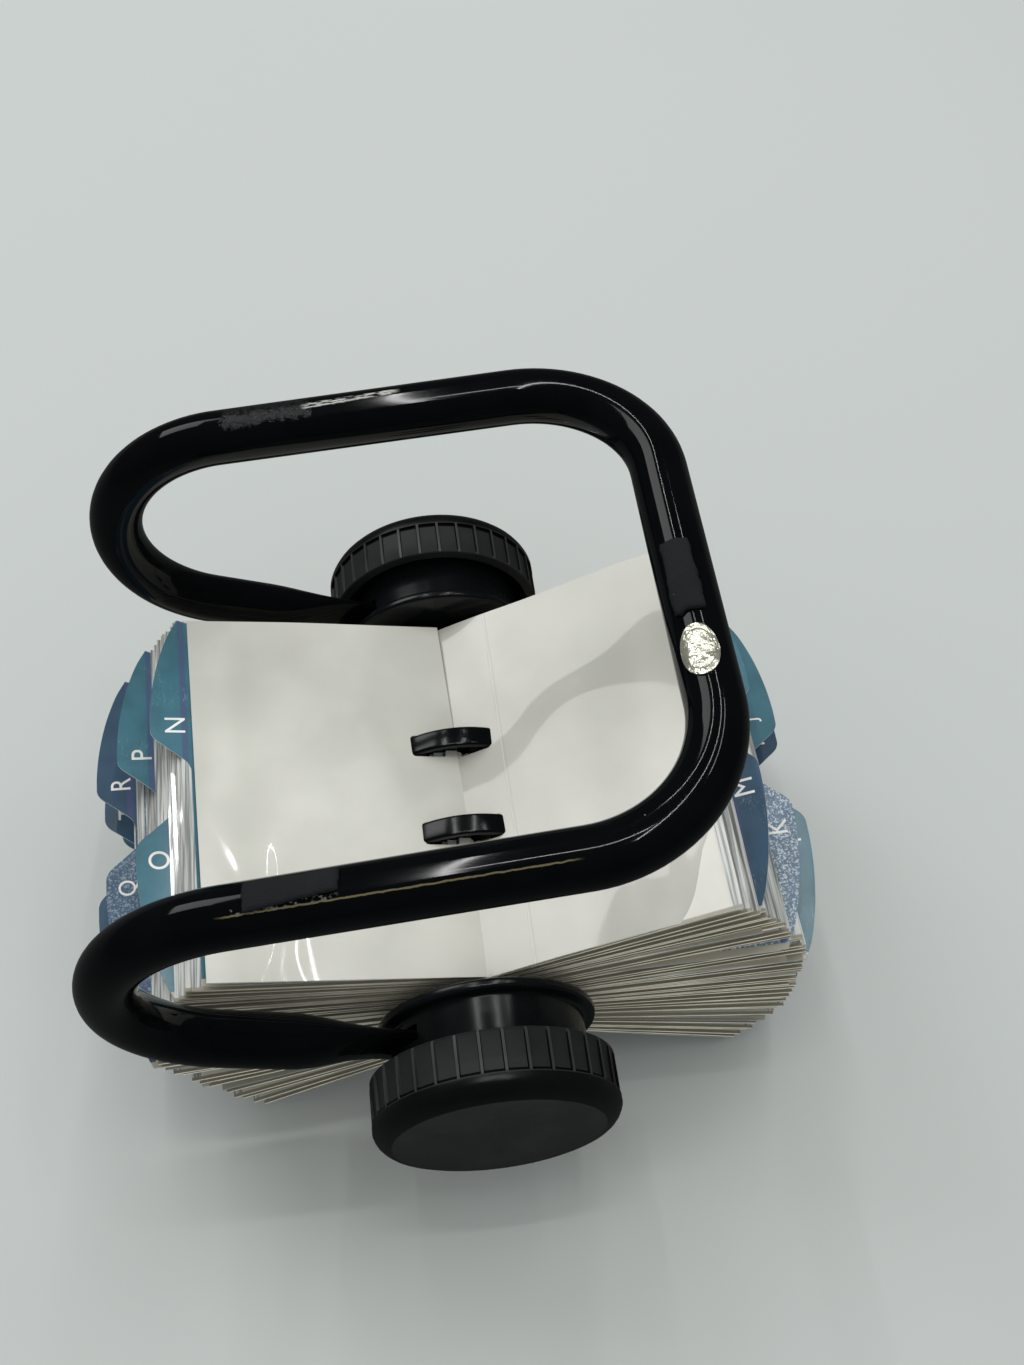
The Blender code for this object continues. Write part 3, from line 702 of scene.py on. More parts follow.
@dataclass(frozen=True)
class Laminate(Look):
    """An index guide: printed colour under film, with a band at the card's edge and optional painted glints."""

    colour: Triple
    painted_glints: float = 0.0

    def dress(self, shader: Shader, place: NodeSocket, effects: Effects) -> None:
        """Lay painted glints, the edge's band, scratches and the bare margin over the print."""
        u, v, _ = shader.card()
        wear = shader.group(effects.wear, Vector=place, Scale=110.0)
        layers = [
            (shader.times(shader.band(u, 0.0679, 0.0006, 0.0004), 0.55), (0.075, 0.07, 0.19)),
            (shader.times(wear["Scratch"], 0.5), (0.55, 0.6, 0.62)),
            (shader.span(shader.times(v, -1.0), 0.0481, 0.0484), (0.42, 0.4, 0.32)),
        ]
        # Pale specks: painted glints, standing in for light glancing off the film's fine texture.
        if self.painted_glints:
            painted_glint_mask = shader.span(shader.parts(shader.cells(place, 2600.0)["Color"])[1], 0.45, 0.95)
            layers.insert(0, (shader.times(painted_glint_mask, self.painted_glints), (0.62, 0.68, 0.74)))
        shader.skin(
            Base_Color=shader.layered(shader.clouded(wear["Cloud"], self.colour, 0.78), layers),
            Roughness=0.4, Specular_IOR_Level=0.25, Coat_Weight=0.12, Coat_Roughness=0.08,
            Normal=shader.bump(shader.noise(place, 260.0, 2.0), 0.00004),
        )


LOOKS: dict[str | Ink, Look] = {
    "paint": Paint("gloss_black_paint", (0.0022, 0.0026, 0.003), 0.07, dust=0.012, specular=0.2),
    "collar": Finish("collar_plastic", (0.004, 0.005, 0.0055), 0.2, dust=0.006, specular=0.3),
    "knob": Finish("knob_plastic", (0.016, 0.0185, 0.0178), 0.5, grain=0.00003, dust=0.01, specular=0.3),
    # The knob's plastic again with light and shade painted in: the face painted lighter, painted shade below the panel
    # step, a painted highlight on the ribs and painted shade on the lip.
    "face": Finish("knob_face_painted_lighter", (0.03, 0.034, 0.033), 0.5, grain=0.00003, dust=0.01, specular=0.3),
    "groove": Finish("knob_step_shade", (0.0012, 0.0014, 0.0014), 0.7, specular=0.1),
    "rib": Finish("knob_rib_painted_highlight", (0.034, 0.038, 0.037), 0.4, grain=0.00003, specular=0.4),
    "lip": Finish("knob_lip_painted_shade", (0.004, 0.005, 0.005), 0.3, specular=0.25),
    "drum": Finish("drum_plastic", (0.003, 0.0035, 0.004), 0.16, specular=0.3),
    "foam": Finish("foam_pad", (0.013, 0.014, 0.015), 0.9, grain=0.00025, grain_scale=2400.0, dust=0.1, specular=0.2),
    "foil": Finish("foil_label", (0.68, 0.68, 0.56), 0.25, metallic=0.8, grain=0.0006, grain_scale=520.0),
    "ring": Finish("foil_ring", (0.2, 0.2, 0.16), 0.4, metallic=0.4, grain=0.0004, grain_scale=700.0),
    "steel": Finish("turned_steel", (0.55, 0.55, 0.56), 0.3, metallic=1.0),
    "nylon": Finish("nylon", (0.7, 0.69, 0.65), 0.45),
    "fibre": Finish("fibre_board", (0.25, 0.1, 0.06), 0.8, grain=0.00004),
    # The two pages are the same card: the left page's tone is painted lighter and the right page's darker, for how the
    # light falls on each.
    "page_left": Film("left_page_film_painted_lighter", (0.71, 0.705, 0.64), weld=-0.1, margin=0.08, painted_fold_shade=0.25, ripple=0.0008),
    "page_right": Film("right_page_film_painted_darker", (0.57, 0.565, 0.51), weld=0.0148, margin=0.08, painted_fold_shade=0.35, ripple=0.0003),
    "sleeve": Film("sleeve_film", (0.66, 0.65, 0.58), painted_front_edge_shade=True),
    "edge": Finish("card_edge", (0.84, 0.8, 0.66), 0.7),
    "trim": Finish("page_cut_edge", (0.85, 0.84, 0.78), 0.5),
    "rim": Finish("laminate_rim", (0.5, 0.56, 0.6), 0.3, coat=0.5),
    "letter": Finish("printed_letter", (0.8, 0.8, 0.76), 0.35),
    Ink.TEAL: Laminate("teal_guide", (0.052, 0.17, 0.225)),
    Ink.NAVY: Laminate("navy_guide", (0.036, 0.088, 0.15)),
    Ink.GLITTER: Laminate("glitter_guide", (0.17, 0.25, 0.34), 0.85),
    Ink.SHIMMER: Laminate("shimmer_guide", (0.06, 0.12, 0.19), 0.3),
}


class Palette:
    """Every finish of the object, each built once."""

    def __init__(self) -> None:
        """Build the materials."""
        effects = Effects()
        self.built = {key: look.build(effects) for key, look in LOOKS.items()}

    def __call__(self, *keys: str | Ink) -> list[Material]:
        """The materials of the keys given."""
        return [self.built[key] for key in keys]


# The stand


@dataclass
class Stand:
    """The bent tube with its flattened ends; a path's places are about the axle."""

    radius: float = 0.00635
    arm: float = 0.0616
    hairpin: Pair = (-0.0462, 0.0555)
    bend: float = 0.0318
    tilt: float = math.radians(6.02)
    length: float = 0.1
    corner: float = 0.03
    flat_start: float = 0.05
    flat_end: float = 0.024
    blade: float = 0.0032
    blade_radius: float = 0.0083
    bore: float = 0.0063
    toe: float = 0.042
    sides: int = 40
    leg_steps: int = 24
    bend_steps: int = 48
    arm_steps: int = 8
    tip: tuple[float, ...] = (-0.985, -0.95, -0.87, -0.75, -0.55, -0.3, 0.0)

    def leg(self) -> Vector:
        """Direction of the leg that leaves the axle and touches the hairpin bend."""
        x, z = self.hairpin
        angle = math.atan2(z, x) + math.asin(self.bend / math.hypot(x, z))
        return upright(math.cos(angle), math.sin(angle))

    def base(self) -> tuple[Vector, Vector, Vector]:
        """Start, direction and upward side of the base loop's arm."""
        along = upright(math.cos(self.tilt), math.sin(self.tilt))
        up = upright(-along.z, along.x)
        return upright(*self.hairpin) + up * self.bend, along, up

    def half_path(self, toe: float) -> list[Vector]:
        """Centre line of one half, from the axle end to the crossbar.

        Args:
            toe: how far the base arm leans inwards, as a share of its run.

        Returns:
            The points, on the front side.
        """
        out = self.leg()
        side = Vector((0.0, -self.arm, 0.0))
        points = [side + out * (self.blade_radius * share) for share in self.tip]
        points += [side + out * (self.flat_start * step / self.leg_steps) for step in range(1, self.leg_steps + 1)]
        first = math.atan2(out.z, out.x) + math.pi / 2
        last = math.pi / 2 + self.tilt
        for step in range(self.bend_steps + 1):
            turn = first + (last - first) * step / self.bend_steps
            points.append(side + upright(*self.hairpin) + upright(math.cos(turn), math.sin(turn)) * self.bend)
        start, along, _ = self.base()
        reach = self.length - self.corner
        straight = [(reach * step / self.arm_steps, 0.0) for step in range(1, self.arm_steps)]
        turns = np.linspace(0, math.pi / 2, 25)
        bend = [(reach + self.corner * math.sin(t), self.corner * (1 - math.cos(t))) for t in turns]
        for run, shift in straight + bend:
            width = (self.arm - shift) * (1 - toe * run / self.arm)
            points.append(start + along * run + Vector((0.0, -width, 0.0)))
        return points

    @staticmethod
    def sweep_tree() -> NodeTree:
        """Geometry Nodes that sweep a round section along the object's own curve."""
        grow = Growth("tube_sweep", {"Radius": "Float", "Sides": "Int", "Finish": "Material"})
        given = grow.given
        ring = grow.node("GeometryNodeCurvePrimitiveCircle", Radius=given["Radius"], Resolution=given["Sides"])
        ends = {"Curve": given["Geometry"], "Profile_Curve": ring.outputs["Curve"], "Fill_Caps": True}
        return grow.closed(grow.node("GeometryNodeCurveToMesh", **ends).outputs["Mesh"], given["Finish"])

    def flattened(self, points: np.ndarray) -> np.ndarray:
        """Press the tube's ends into thin blades.

        Args:
            points: the tube's points.

        Returns:
            The points after pressing.
        """
        out = np.array(self.leg())
        across = np.array((-out[2], 0.0, out[0]))
        run, rise = points @ out, points @ across
        near = (run <= self.flat_start) & (np.abs(rise) <= self.radius * 1.05)
        share = np.clip((self.flat_start - run) / (self.flat_start - self.flat_end), 0.0, 1.0)
        share = share * share * (3 - 2 * share)
        end = np.sqrt(np.clip(1 - (np.minimum(run, 0.0) / self.blade_radius) ** 2, 0.0, 1.0))
        side = np.copysign(self.arm, points[:, 1])
        thin = 1 + (self.blade / (self.radius * 2) - 1) * share
        wide = (1 + (self.blade_radius / self.radius - 1) * share) * end
        pressed = run[:, None] * out + (rise * wide)[:, None] * across
        pressed[:, 1] = side + (points[:, 1] - side) * thin
        return np.where(near[:, None], pressed, points)

    def build(self, palette: Palette) -> None:
        """Make the tube and set it on the stand.

        Args:
            palette: the finishes.
        """
        path = self.half_path(0.0) + [Vector((p.x, -p.y, p.z)) for p in reversed(self.half_path(self.toe))]
        curve = bpy.data.curves.new("tube_line", "CURVE")
        curve.dimensions = "3D"
        spline = curve.splines.new("POLY")
        spline.points.add(len(path) - 1)
        for point, place in zip(spline.points, path):
            point.co = (*place, 1.0)
        values = {"Radius": self.radius, "Sides": self.sides, "Finish": palette("paint")[0]}
        mesh = Growth.use(Maker.linked("tube_line", curve), self.sweep_tree(), **values)
        mesh = Maker.outward(Maker.moved(mesh, self.flattened(Maker.points(mesh)) + np.array(AXLE)))
        reach = self.arm + self.blade
        hole = Maker.lathe([(0.0, -reach), (self.bore, -reach), (self.bore, reach), (0.0, reach)], 48)
        mesh = Maker.cut(mesh, hole)
        mesh.materials.clear()
        tube = Maker.piece("stand_tube", mesh, *palette("paint"), angle=40.0)
        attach(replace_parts(tube, "frame_tube"), "stand")


@dataclass
class Bearings:
    """The two turned collars that hold the tube's flattened ends."""

    start: float = 0.0546
    end: float = 0.0704
    radius: float = 0.0235
    bore: float = 0.0064
    flange: float = 0.0265
    flange_width: float = 0.0026
    gap: float = 0.0003

    def build(self, palette: Palette, stand: Stand) -> None:
        """Make both collars, each open for the tube.

        Args:
            palette: the finishes.
            stand: the stand, for its leg and its blades.
        """
        foot = self.start + self.flange_width
        corners = [
            (self.radius, self.end), (self.radius, foot), (self.flange, foot), (self.flange, self.start),
            (self.bore, self.start), (self.bore, self.end),
        ]
        profile = rounded(corners, [0.0006, 0.0008, 0.001, 0.001, 0.0003, 0.0003])
        out = stand.leg()
        high, half, reach = stand.blade_radius + self.gap, stand.blade / 2 + self.gap, self.flange * 1.3
        square = ((-high, -high), (reach, -high), (reach, high), (-high, high))
        faces = [(0, 1, 2, 3), (7, 6, 5, 4), (0, 4, 5, 1), (1, 5, 6, 2), (2, 6, 7, 3), (3, 7, 4, 0)]
        for name, end in ENDS:
            corners = [
                tuple(AXLE + out * u + upright(-out.z, out.x) * v + Vector((0.0, end * stand.arm + w, 0.0)))
                for w in (-half, half) for u, v in square
            ]
            slot = Maker.outward(Maker.surface(np.array(corners), faces))
            mesh = Maker.cut(Maker.lathe(profile, 128, end), slot)
            collar = Maker.piece("bearing_collar_" + name, mesh, *palette("collar"))
            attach(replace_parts(collar, "collar_" + name), "stand")


@dataclass
class Knobs:
    """The two cup-shaped knobs with flat finger panels."""

    radius: float = 0.0294
    inner: float = 0.0264
    start: float = 0.0677
    panel_start: float = 0.0683
    panel_end: float = 0.0776
    rim_end: float = 0.0794
    crown: float = 0.0846
    floor: float = 0.0806
    hub: float = 0.0075
    hub_start: float = 0.0712
    bore: float = 0.0043
    bore_end: float = 0.082
    panels: int = 34
    recess: float = 0.00055
    face: Outline = field(default_factory=lambda: [
        (0.0, 0.0), (0.006, 0.00004), (0.012, 0.0002), (0.018, 0.0005), (0.0225, 0.0009), (0.0252, 0.00135),
        (0.0268, 0.0019), (0.0278, 0.0026), (0.0286, 0.0035), (0.0291, 0.0044),
    ])
    shares: tuple[float, ...] = (0.0, 0.12, 0.155, 0.3, 0.5, 0.7, 0.85, 0.965)

    def profile(self) -> Outline:
        """The cup's section, from the middle of its face round to the bottom of its bore."""
        low, high = self.panel_start, self.panel_end
        return [(radius, self.crown - drop) for radius, drop in self.face] + [
            (self.radius, self.rim_end), (self.radius, high + 0.0005), (self.radius, high + 0.0002),
            (0.0293, high), (0.02935, high - 0.0006), (0.02935, (high + low) / 2), (0.02935, low + 0.0003),
            (0.0292, self.start + 0.0002), (0.029, self.start), (0.0266, self.start),
            (self.inner, self.start + 0.0002), (self.inner, self.floor), (self.hub, self.floor),
            (self.hub, self.hub_start), (self.bore, self.hub_start), (self.bore, self.bore_end), (0.0, self.bore_end),
        ]

    @staticmethod
    def kind(part: int, index: int) -> int:
        """The material slot of a face: 0 plastic, 1 painted shade below the step, 2 rib with a painted highlight, 3
        lip with painted shade, 4 face with the plastic painted lighter.

        Args:
            part: the face's step within its panel.
            index: its place in the profile.

        Returns:
            The slot's number.
        """
        if index in (12, 13) and part >= 1 or part == 1 and 13 <= index < 16:
            return 1
        if part == 0 and 12 <= index < 17:
            return 2
        return 4 if index < 5 else 3 if index < 11 else 0

    def cup(self, end: float) -> Mesh:
        """Turn the knob with its panels pressed into the grip.

        Args:
            end: 1 for the back knob, -1 for the front one.

        Returns:
            A closed mesh.
        """
        profile, fine = self.profile(), len(self.shares)
        rings, turns, kinds = [], [], []
        for step in range(self.panels * fine):
            panel, part = divmod(step, fine)
            turn = math.tau * (panel + self.shares[part]) / self.panels
            local = turn - math.tau * (panel + 0.5) / self.panels
            ring = list(profile)
            if part >= 2:
                for index in range(13, 17):
                    depth = self.recess * (1.0 if index < 16 else 0.7)
                    radius = (self.radius - depth) * math.cos(math.pi / self.panels) / math.cos(local)
                    ring[index] = (radius, profile[index][1])
            rings.append(ring)
            turns.append(turn)
            kinds += [self.kind(part, index) for index in range(len(profile) - 1)]
        mesh = Maker.turned(rings, turns, end, False)
        mesh.polygons.foreach_set("material_index", kinds)
        return Maker.outward(mesh, dissolve=True)

    def build(self, palette: Palette) -> None:
        """Make both knobs."""
        for name, end in ENDS:
            materials = palette("knob", "groove", "rib", "lip", "face")
            knob = Maker.piece("finger_knob_" + name, self.cup(end), *materials, angle=30.0)
            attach(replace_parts(knob, "knob_" + name), "rotor")


@dataclass
class Drum:
    """The two T-section rails that carry the leaves, with the core and the clutch inside."""

    rail_place: float = 0.0127
    rim: float = 0.023
    rim_thickness: float = 0.0016
    rim_width: float = 0.0055
    web: float = 0.0016
    core: float = 0.0118

    def build(self, palette: Palette) -> None:
        """Make the rails and dress the nodes that stay.

        Args:
            palette: the finishes.
        """
        half, web, inner = self.rim_width / 2, self.web / 2, self.rim - self.rim_thickness
        place, core = self.rail_place, self.core
        corners = [
            (self.rim, place + half), (self.rim, place - half), (inner, place - half), (inner, place - web),
            (core, place - web), (core, place + web), (inner, place + web), (inner, place + half),
        ]
        profile = rounded(corners, [0.0008, 0.0008, 0.0004, 0.0004, 0.0001, 0.0001, 0.0004, 0.0004])
        for name, end in ENDS:
            rail = Maker.piece("card_rail_" + name, Maker.lathe(profile, 144, end), *palette("drum"))
            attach(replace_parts(rail, "rail_" + name), "rotor")
        kept = {
            "shaft": "steel", "drum_core": "drum", "bush_front": "nylon", "bush_back": "nylon",
            "friction_washer": "fibre", "clutch_spring": "steel",
        }
        for name, key in kept.items():
            mesh = frame["nodes"][name].data
            mesh.materials.clear()
            mesh.materials.append(*palette(key))
            LOG.info("%s dressed", name)


@dataclass
class Feet:
    """The torn foam pads and the bare foil oval, wrapped over the base loop's tube."""

    stand: Stand
    inner: float = 0.00645
    pad_length: float = 0.0183
    pad_angle: float = math.radians(28.0)
    pad_rise: float = 0.0009
    pad_grid: tuple[int, int] = (22, 54)
    skin: float = 0.0003
    oval: Pair = (0.0061, 0.004)
    oval_grid: tuple[int, int] = (8, 97)
    lean: float = math.radians(-12.0)

    def seat(self, arm: bool, place: float) -> Seat:
        """A place on the base loop; places on the crossbar lean round the tube.

        Args:
            arm: true for the front arm, false for the crossbar.
            place: the distance along the arm, or from the crossbar's middle.

        Returns:
            The seat's centre and its directions outward, across and along.
        """
        start, along, up = self.stand.base()
        start = start + AXLE
        if arm:
            return start + along * place + Vector((0.0, -self.stand.arm, 0.0)), up, Vector((0.0, -1.0, 0.0)), along
        out = up * math.cos(self.lean) + along * math.sin(self.lean)
        across = along * math.cos(self.lean) - up * math.sin(self.lean)
        return start + along * self.stand.length + Vector((0.0, place, 0.0)), out, across, Vector((0.0, 1.0, 0.0))

    @staticmethod
    def wrap(seat: Seat, rows: np.ndarray) -> Mesh:
        """A closed sheet over the tube from rows of (turn, along, inner radius, outer radius).

        Args:
            seat: where it sits.
            rows: an array of rows by columns by the four numbers.

        Returns:
            The closed mesh.
        """
        centre, out, across, along = (np.array(v) for v in seat)
        turn, run = rows[..., 0:1], rows[..., 1:2]
        high, wide = rows.shape[:2]
        around = out * np.cos(turn) + across * np.sin(turn)
        layers = [centre + along * run + around * rows[..., k:k + 1] for k in (2, 3)]
        points = np.concatenate([layer.reshape(-1, 3) for layer in layers])
        grid, total = np.arange(high * wide).reshape(high, wide), high * wide
        lower = np.stack([grid[:-1, :-1], grid[:-1, 1:], grid[1:, 1:], grid[1:, :-1]], axis=-1).reshape(-1, 4)
        rim = [*grid[0].tolist(), *grid[1:, -1].tolist(), *grid[-1, -2::-1].tolist(), *grid[-2:0:-1, 0].tolist()]
        sides = [(a, b, total + b, total + a) for a, b in zip(rim, rim[1:] + rim[:1])]
        return Maker.outward(Maker.surface(points, lower.tolist() + (lower[:, ::-1] + total).tolist() + sides))

    def pad(self, seat: Seat, seed: int, torn: float, cut: float) -> Mesh:
        """A worn foam strip with ragged edges and a crumbled top.

        Args:
            seat: where it sits.
            seed: the strip's own seed.
            torn: how ragged its edges are.
            cut: the angle by which it is torn away at its far end.

        Returns:
            The closed mesh.
        """
        dice = np.random.RandomState(seed)
        high, wide = self.pad_grid
        ends = np.cumsum(dice.normal(0, 0.00006, (2, high)), axis=1) * torn
        sides = np.cumsum(dice.normal(0, 0.006, (2, wide)), axis=1) * torn
        rows = np.zeros((high, wide, 4))
        for r in range(high):
            for c in range(wide):
                t, w = r / (high - 1), c / (wide - 1)
                far = self.pad_angle + sides[1, c] - cut * (0.25 + 0.75 * w)
                edge = min(t, 1 - t, w * 2.2, (1 - w) * 2.2, 0.12) / 0.12
                top = self.inner + self.skin + self.pad_rise * (0.35 + 0.65 * edge ** 0.5)
                rows[r, c] = (
                    (-self.pad_angle + sides[0, c]) * (1 - t) + far * t,
                    (-self.pad_length / 2 + ends[0, r]) * (1 - w) + (self.pad_length / 2 + ends[1, r]) * w,
                    self.inner, top + dice.normal(0, 0.000035),
                )
        return self.wrap(seat, rows)

    def ellipse(self, seat: Seat, outer: float, hole: float, low: float, high: float) -> Mesh:
        """An oval ring or disc as a polar grid over the tube.

        Args:
            seat: where it sits.
            outer: its outer share of the oval.
            hole: its inner share of the oval.
            low: the radius of its underside.
            high: the radius of its top.

        Returns:
            The closed mesh.
        """
        tall, wide = self.oval_grid
        length, width = self.oval
        rows = np.zeros((tall, wide, 4))
        for r, share in enumerate(np.linspace(hole, outer, tall)):
            for c, turn in enumerate(np.linspace(0, math.tau, wide)):
                rows[r, c] = (share * math.sin(turn) * width / self.inner, share * math.cos(turn) * length, low, high)
        return self.wrap(seat, rows)

    def build(self, palette: Palette) -> None:
        """Make the pads and the oval.

        Args:
            palette: the finishes.
        """
        label = self.seat(False, -0.0232)
        pieces = (
            ("foam_pad_arm", self.pad(self.seat(True, 0.0144), 3, 0.9, 0.3), "foam", "foot_pad_front", "pad_grey"),
            ("foam_pad_bar", self.pad(self.seat(False, -0.0046), 8, 1.6, 0.0), "foam", "foot_pad_cross", "pad_grey"),
            ("foil_oval", self.ellipse(label, 1.0, 0.002, 0.00645, 0.0068), "foil", "oval_label", "foil"),
            ("foil_oval_ring", self.ellipse(label, 0.8, 0.76, 0.0067, 0.00684), "ring", None, "foil"),
        )
        for name, mesh, key, node, slot in pieces:
            item = Maker.piece(name, mesh, *palette(key), angle=60.0)
            if node:
                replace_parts(item, node)
            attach(item, "stand")


# The leaves


@dataclass(frozen=True)
class Place:
    """Where one leaf hangs: its inner edge about the axle, and its lift."""

    x: float
    z: float
    lift: float
    side: Side

    def spot(self) -> Vector:
        """The middle of the inner edge, in the row frame."""
        return AXLE + upright(self.x, self.z)

    def matrix(self) -> Matrix:
        """From leaf axes (outward, along the axle, up) to the row frame."""
        sign, spot = self.side.value, self.spot()
        out = upright(sign * math.cos(self.lift), math.sin(self.lift))
        up = upright(-sign * math.sin(self.lift), math.cos(self.lift))
        return Matrix(((out.x, 0, up.x, spot.x), (0, 1, 0, spot.y), (out.z, 0, up.z, spot.z), (0, 0, 0, 1)))

    @staticmethod
    def between(places: list["Place"], index: float) -> "Place":
        """The place at a fractional index of a fan, kept within the fan."""
        rows = np.array([(place.x, place.z, place.lift) for place in places]).T
        return Place(*(float(np.interp(index, range(len(places)), row)) for row in rows), places[0].side)


@dataclass
class Fan:
    """One side's stack of leaves, fanned over the rails: lifts and reaches follow rows of stack shares."""

    side: Side
    lifts: tuple[float, ...]
    reaches: tuple[float, ...]
    yaw: float
    stack: str
    shares: tuple[float, ...] = (0.0, 0.25, 0.5, 0.8, 0.88, 1.0)
    ring: float = 0.0222
    reach: float = 0.0098
    seam: float = 0.0005
    parts: int = 24
    tries: int = 50

    def names(self) -> list[str]:
        """The stack's entries from the top; - before a letter stands for a pack of sleeves."""
        return [name.replace("-", "sleeves_") for name in self.stack.split()]

    @staticmethod
    def sheets(name: str) -> int:
        """How many sheets an entry of the stack stands for."""
        return 2 if name.startswith("sleeves_m_") else 3 if name.startswith("sleeves_") else 1

    def lift(self, share: float) -> float:
        """The lift at a share of the stack, in radians."""
        return math.radians(float(np.interp(share, self.shares, self.lifts)))

    def walk(self, count: int, start: float, total: float) -> list[float]:
        """Ring angles of the leaves when the stack is a number of radii thick.

        Args:
            count: how many leaves there are.
            start: the top leaf's angle.
            total: the thickness.

        Returns:
            The angle of every leaf.
        """
        turn, turns = start, [start]
        for index in range(count - 1):
            for part in range(self.parts):
                lift = self.lift((index + part / self.parts) / (count - 1))
                turn -= total / (count - 1) / self.parts / max(math.cos(turn - lift), 0.2)
            turns.append(turn)
        return turns

    def limit(self, share: float) -> float:
        """The ring angle at which the leaf at an end of the stack meets the other fan's."""
        reach = self.reach * self.reaches[-1 if share else 0]
        return math.acos((self.seam + reach * math.cos(self.lift(share))) / self.ring)

    def places(self) -> list[Place]:
        """Every leaf's place, evenly spaced through the stack."""
        count = sum(self.sheets(name) for name in self.names())
        start, finish = self.limit(0.0), -self.limit(1.0)
        low, high = 0.0, math.tau * 4
        for _ in range(self.tries):
            trial = (low + high) / 2
            if self.walk(count, start, trial)[-1] > finish:
                low = trial
            else:
                high = trial
        found = []
        for index, turn in enumerate(self.walk(count, start, low)):
            share = index / (count - 1)
            lift, reach = self.lift(share), self.reach * float(np.interp(share, self.shares, self.reaches))
            x = self.ring * math.cos(turn) - reach * math.cos(lift)
            z = self.ring * math.sin(turn) - reach * math.sin(lift)
            found.append(Place(self.side.value * x, z, lift, self.side))
        return found


FANS = (
    Fan(
        Side.LEFT, (16.5, 11.4, 6.3, -1.0, -9.0, -25.0), (1.0, 1.04, 0.47, 0.47, 0.55, 0.7), -1.8,
        "page_left n -n o -o p -p q -q r -r s -s t -t u v -v w xyz -xyz",
    ),
    Fan(
        Side.RIGHT, (21.9, 10.0, -2.0, -16.4, -20.3, -26.0), (1.0,) * 6, 0.3,
        "page_right -m_right m -l l -k k -j j i -h h -g g -f f -e e d c -b b a",
    ),
)


@dataclass
class Leaf:
    """The cut of a card, sleeve or guide."""

    length: float = 0.1016
    depth: float = 0.0667
    rail: float = 0.0127
    throat: float = 0.0024
    throat_depth: float = 0.003
    slot: float = 0.0062
    slot_depth: float = 0.012
    tab: float = 0.0095
    back_tab: Pair = (0.0062, 0.0508)
    front_tab: Pair = (-0.0004, -0.0498)
    curve: tuple[Pair, ...] = (
        (0.0, 0.0), (0.05, 0.12), (0.13, 0.55), (0.21, 0.95), (0.31, 1.0),
        (0.5, 0.93), (0.7, 0.75), (0.88, 0.48), (1.0, 0.2),
    )

    def notch(self, centre: float) -> Outline:
        """One keyhole slot, with rounded corners."""
        throat, slot, deep, neck = self.throat / 2, self.slot / 2, self.slot_depth, self.throat_depth
        half = [(0.0, throat), (neck, throat), (neck, slot), (deep, slot)]
        corners = [(u, centre - v) for u, v in half] + [(u, centre + v) for u, v in reversed(half)]
        return rounded(corners, [0.0003, 0.0003, 0.001, 0.0012, 0.0012, 0.001, 0.0003, 0.0003], 3)

    def tab_line(self, span: Pair) -> Outline:
        """The smooth outer edge of a tab, a Catmull-Rom curve through the tab's shares.

        Args:
            span: where the tab starts and ends along the card.

        Returns:
            The edge's points.
        """
        shares = np.array(self.curve)
        points = np.vstack([shares[0] * 2 - shares[1], shares, shares[-1] * 2 - shares[-2]])
        line = []
        for index in range(1, len(points) - 2):
            p, q, r, t = points[index - 1:index + 3]
            square, cube = 2 * p - 5 * q + 4 * r - t, 3 * q - p - 3 * r + t
            line += [0.5 * (2 * q + (r - p) * k + square * k ** 2 + cube * k ** 3) for k in np.arange(0.0, 1.0, 0.125)]
        line.append(points[-2])
        return [(self.depth + self.tab * min(h, 1.0), span[0] + (span[1] - span[0]) * x) for x, h in line]

    def outline(self, row: Row) -> Outline:
        """The whole outline of a leaf, from its inner front corner round to its outer front corner.

        Args:
            row: where its tab stands.

        Returns:
            The outline's points.
        """
        half = self.length / 2
        points = [(0.0, -half)] + self.notch(-self.rail) + self.notch(self.rail) + [(0.0, half), (self.depth, half)]
        if row is Row.BACK:
            points += list(reversed(self.tab_line(self.back_tab)))
        elif row is Row.FRONT:
            points += self.tab_line(self.front_tab) + [(self.depth, self.front_tab[1])]
        return points + [(self.depth, -half)]

    def flat(self, row: Row, thickness: float, cuts: int = 0) -> Mesh:
        """A flat leaf in its own axes: outwards, along the axle, up.

        Args:
            row: where its tab stands.
            thickness: the leaf's thickness.
            cuts: how many times it is cut each way, so that it can be bent.

        Returns:
            A closed mesh with the flat coordinates in the map "card" and its rim in material slot 1.
        """
        work = bmesh.new()
        ring = [work.verts.new((u, v, -thickness / 2)) for u, v in self.outline(row)]
        edges = [work.edges.new((a, b)) for a, b in zip(ring, ring[1:] + ring[:1])]
        bmesh.ops.remove_doubles(work, verts=work.verts, dist=MERGE)
        left = [e for e in edges if e.is_valid]
        bmesh.ops.triangle_fill(work, use_beauty=True, use_dissolve=False, edges=left)
        for normal, low, high in (((1, 0, 0), 0.0, self.depth), ((0, 1, 0), -self.length / 2, self.length / 2)):
            for step in range(1, cuts):
                spot = np.array(normal) * (low + (high - low) * step / cuts)
                parts = work.verts[:] + work.edges[:] + work.faces[:]
                bmesh.ops.bisect_plane(work, geom=parts, dist=MERGE, plane_co=spot, plane_no=normal)
        grown = bmesh.ops.extrude_face_region(work, geom=work.faces[:])
        moved = [g for g in grown["geom"] if isinstance(g, bmesh.types.BMVert)]
        bmesh.ops.translate(work, verts=moved, vec=(0.0, 0.0, thickness))
        bmesh.ops.recalc_face_normals(work, faces=work.faces)
        card = work.loops.layers.uv.new("card")
        for face in work.faces:
            face.material_index = 1 if abs(face.normal.z) < 0.5 else 0
            for loop in face.loops:
                loop[card].uv = loop.vert.co.xy
        return Maker.written(work, bpy.data.meshes.new("leaf"))


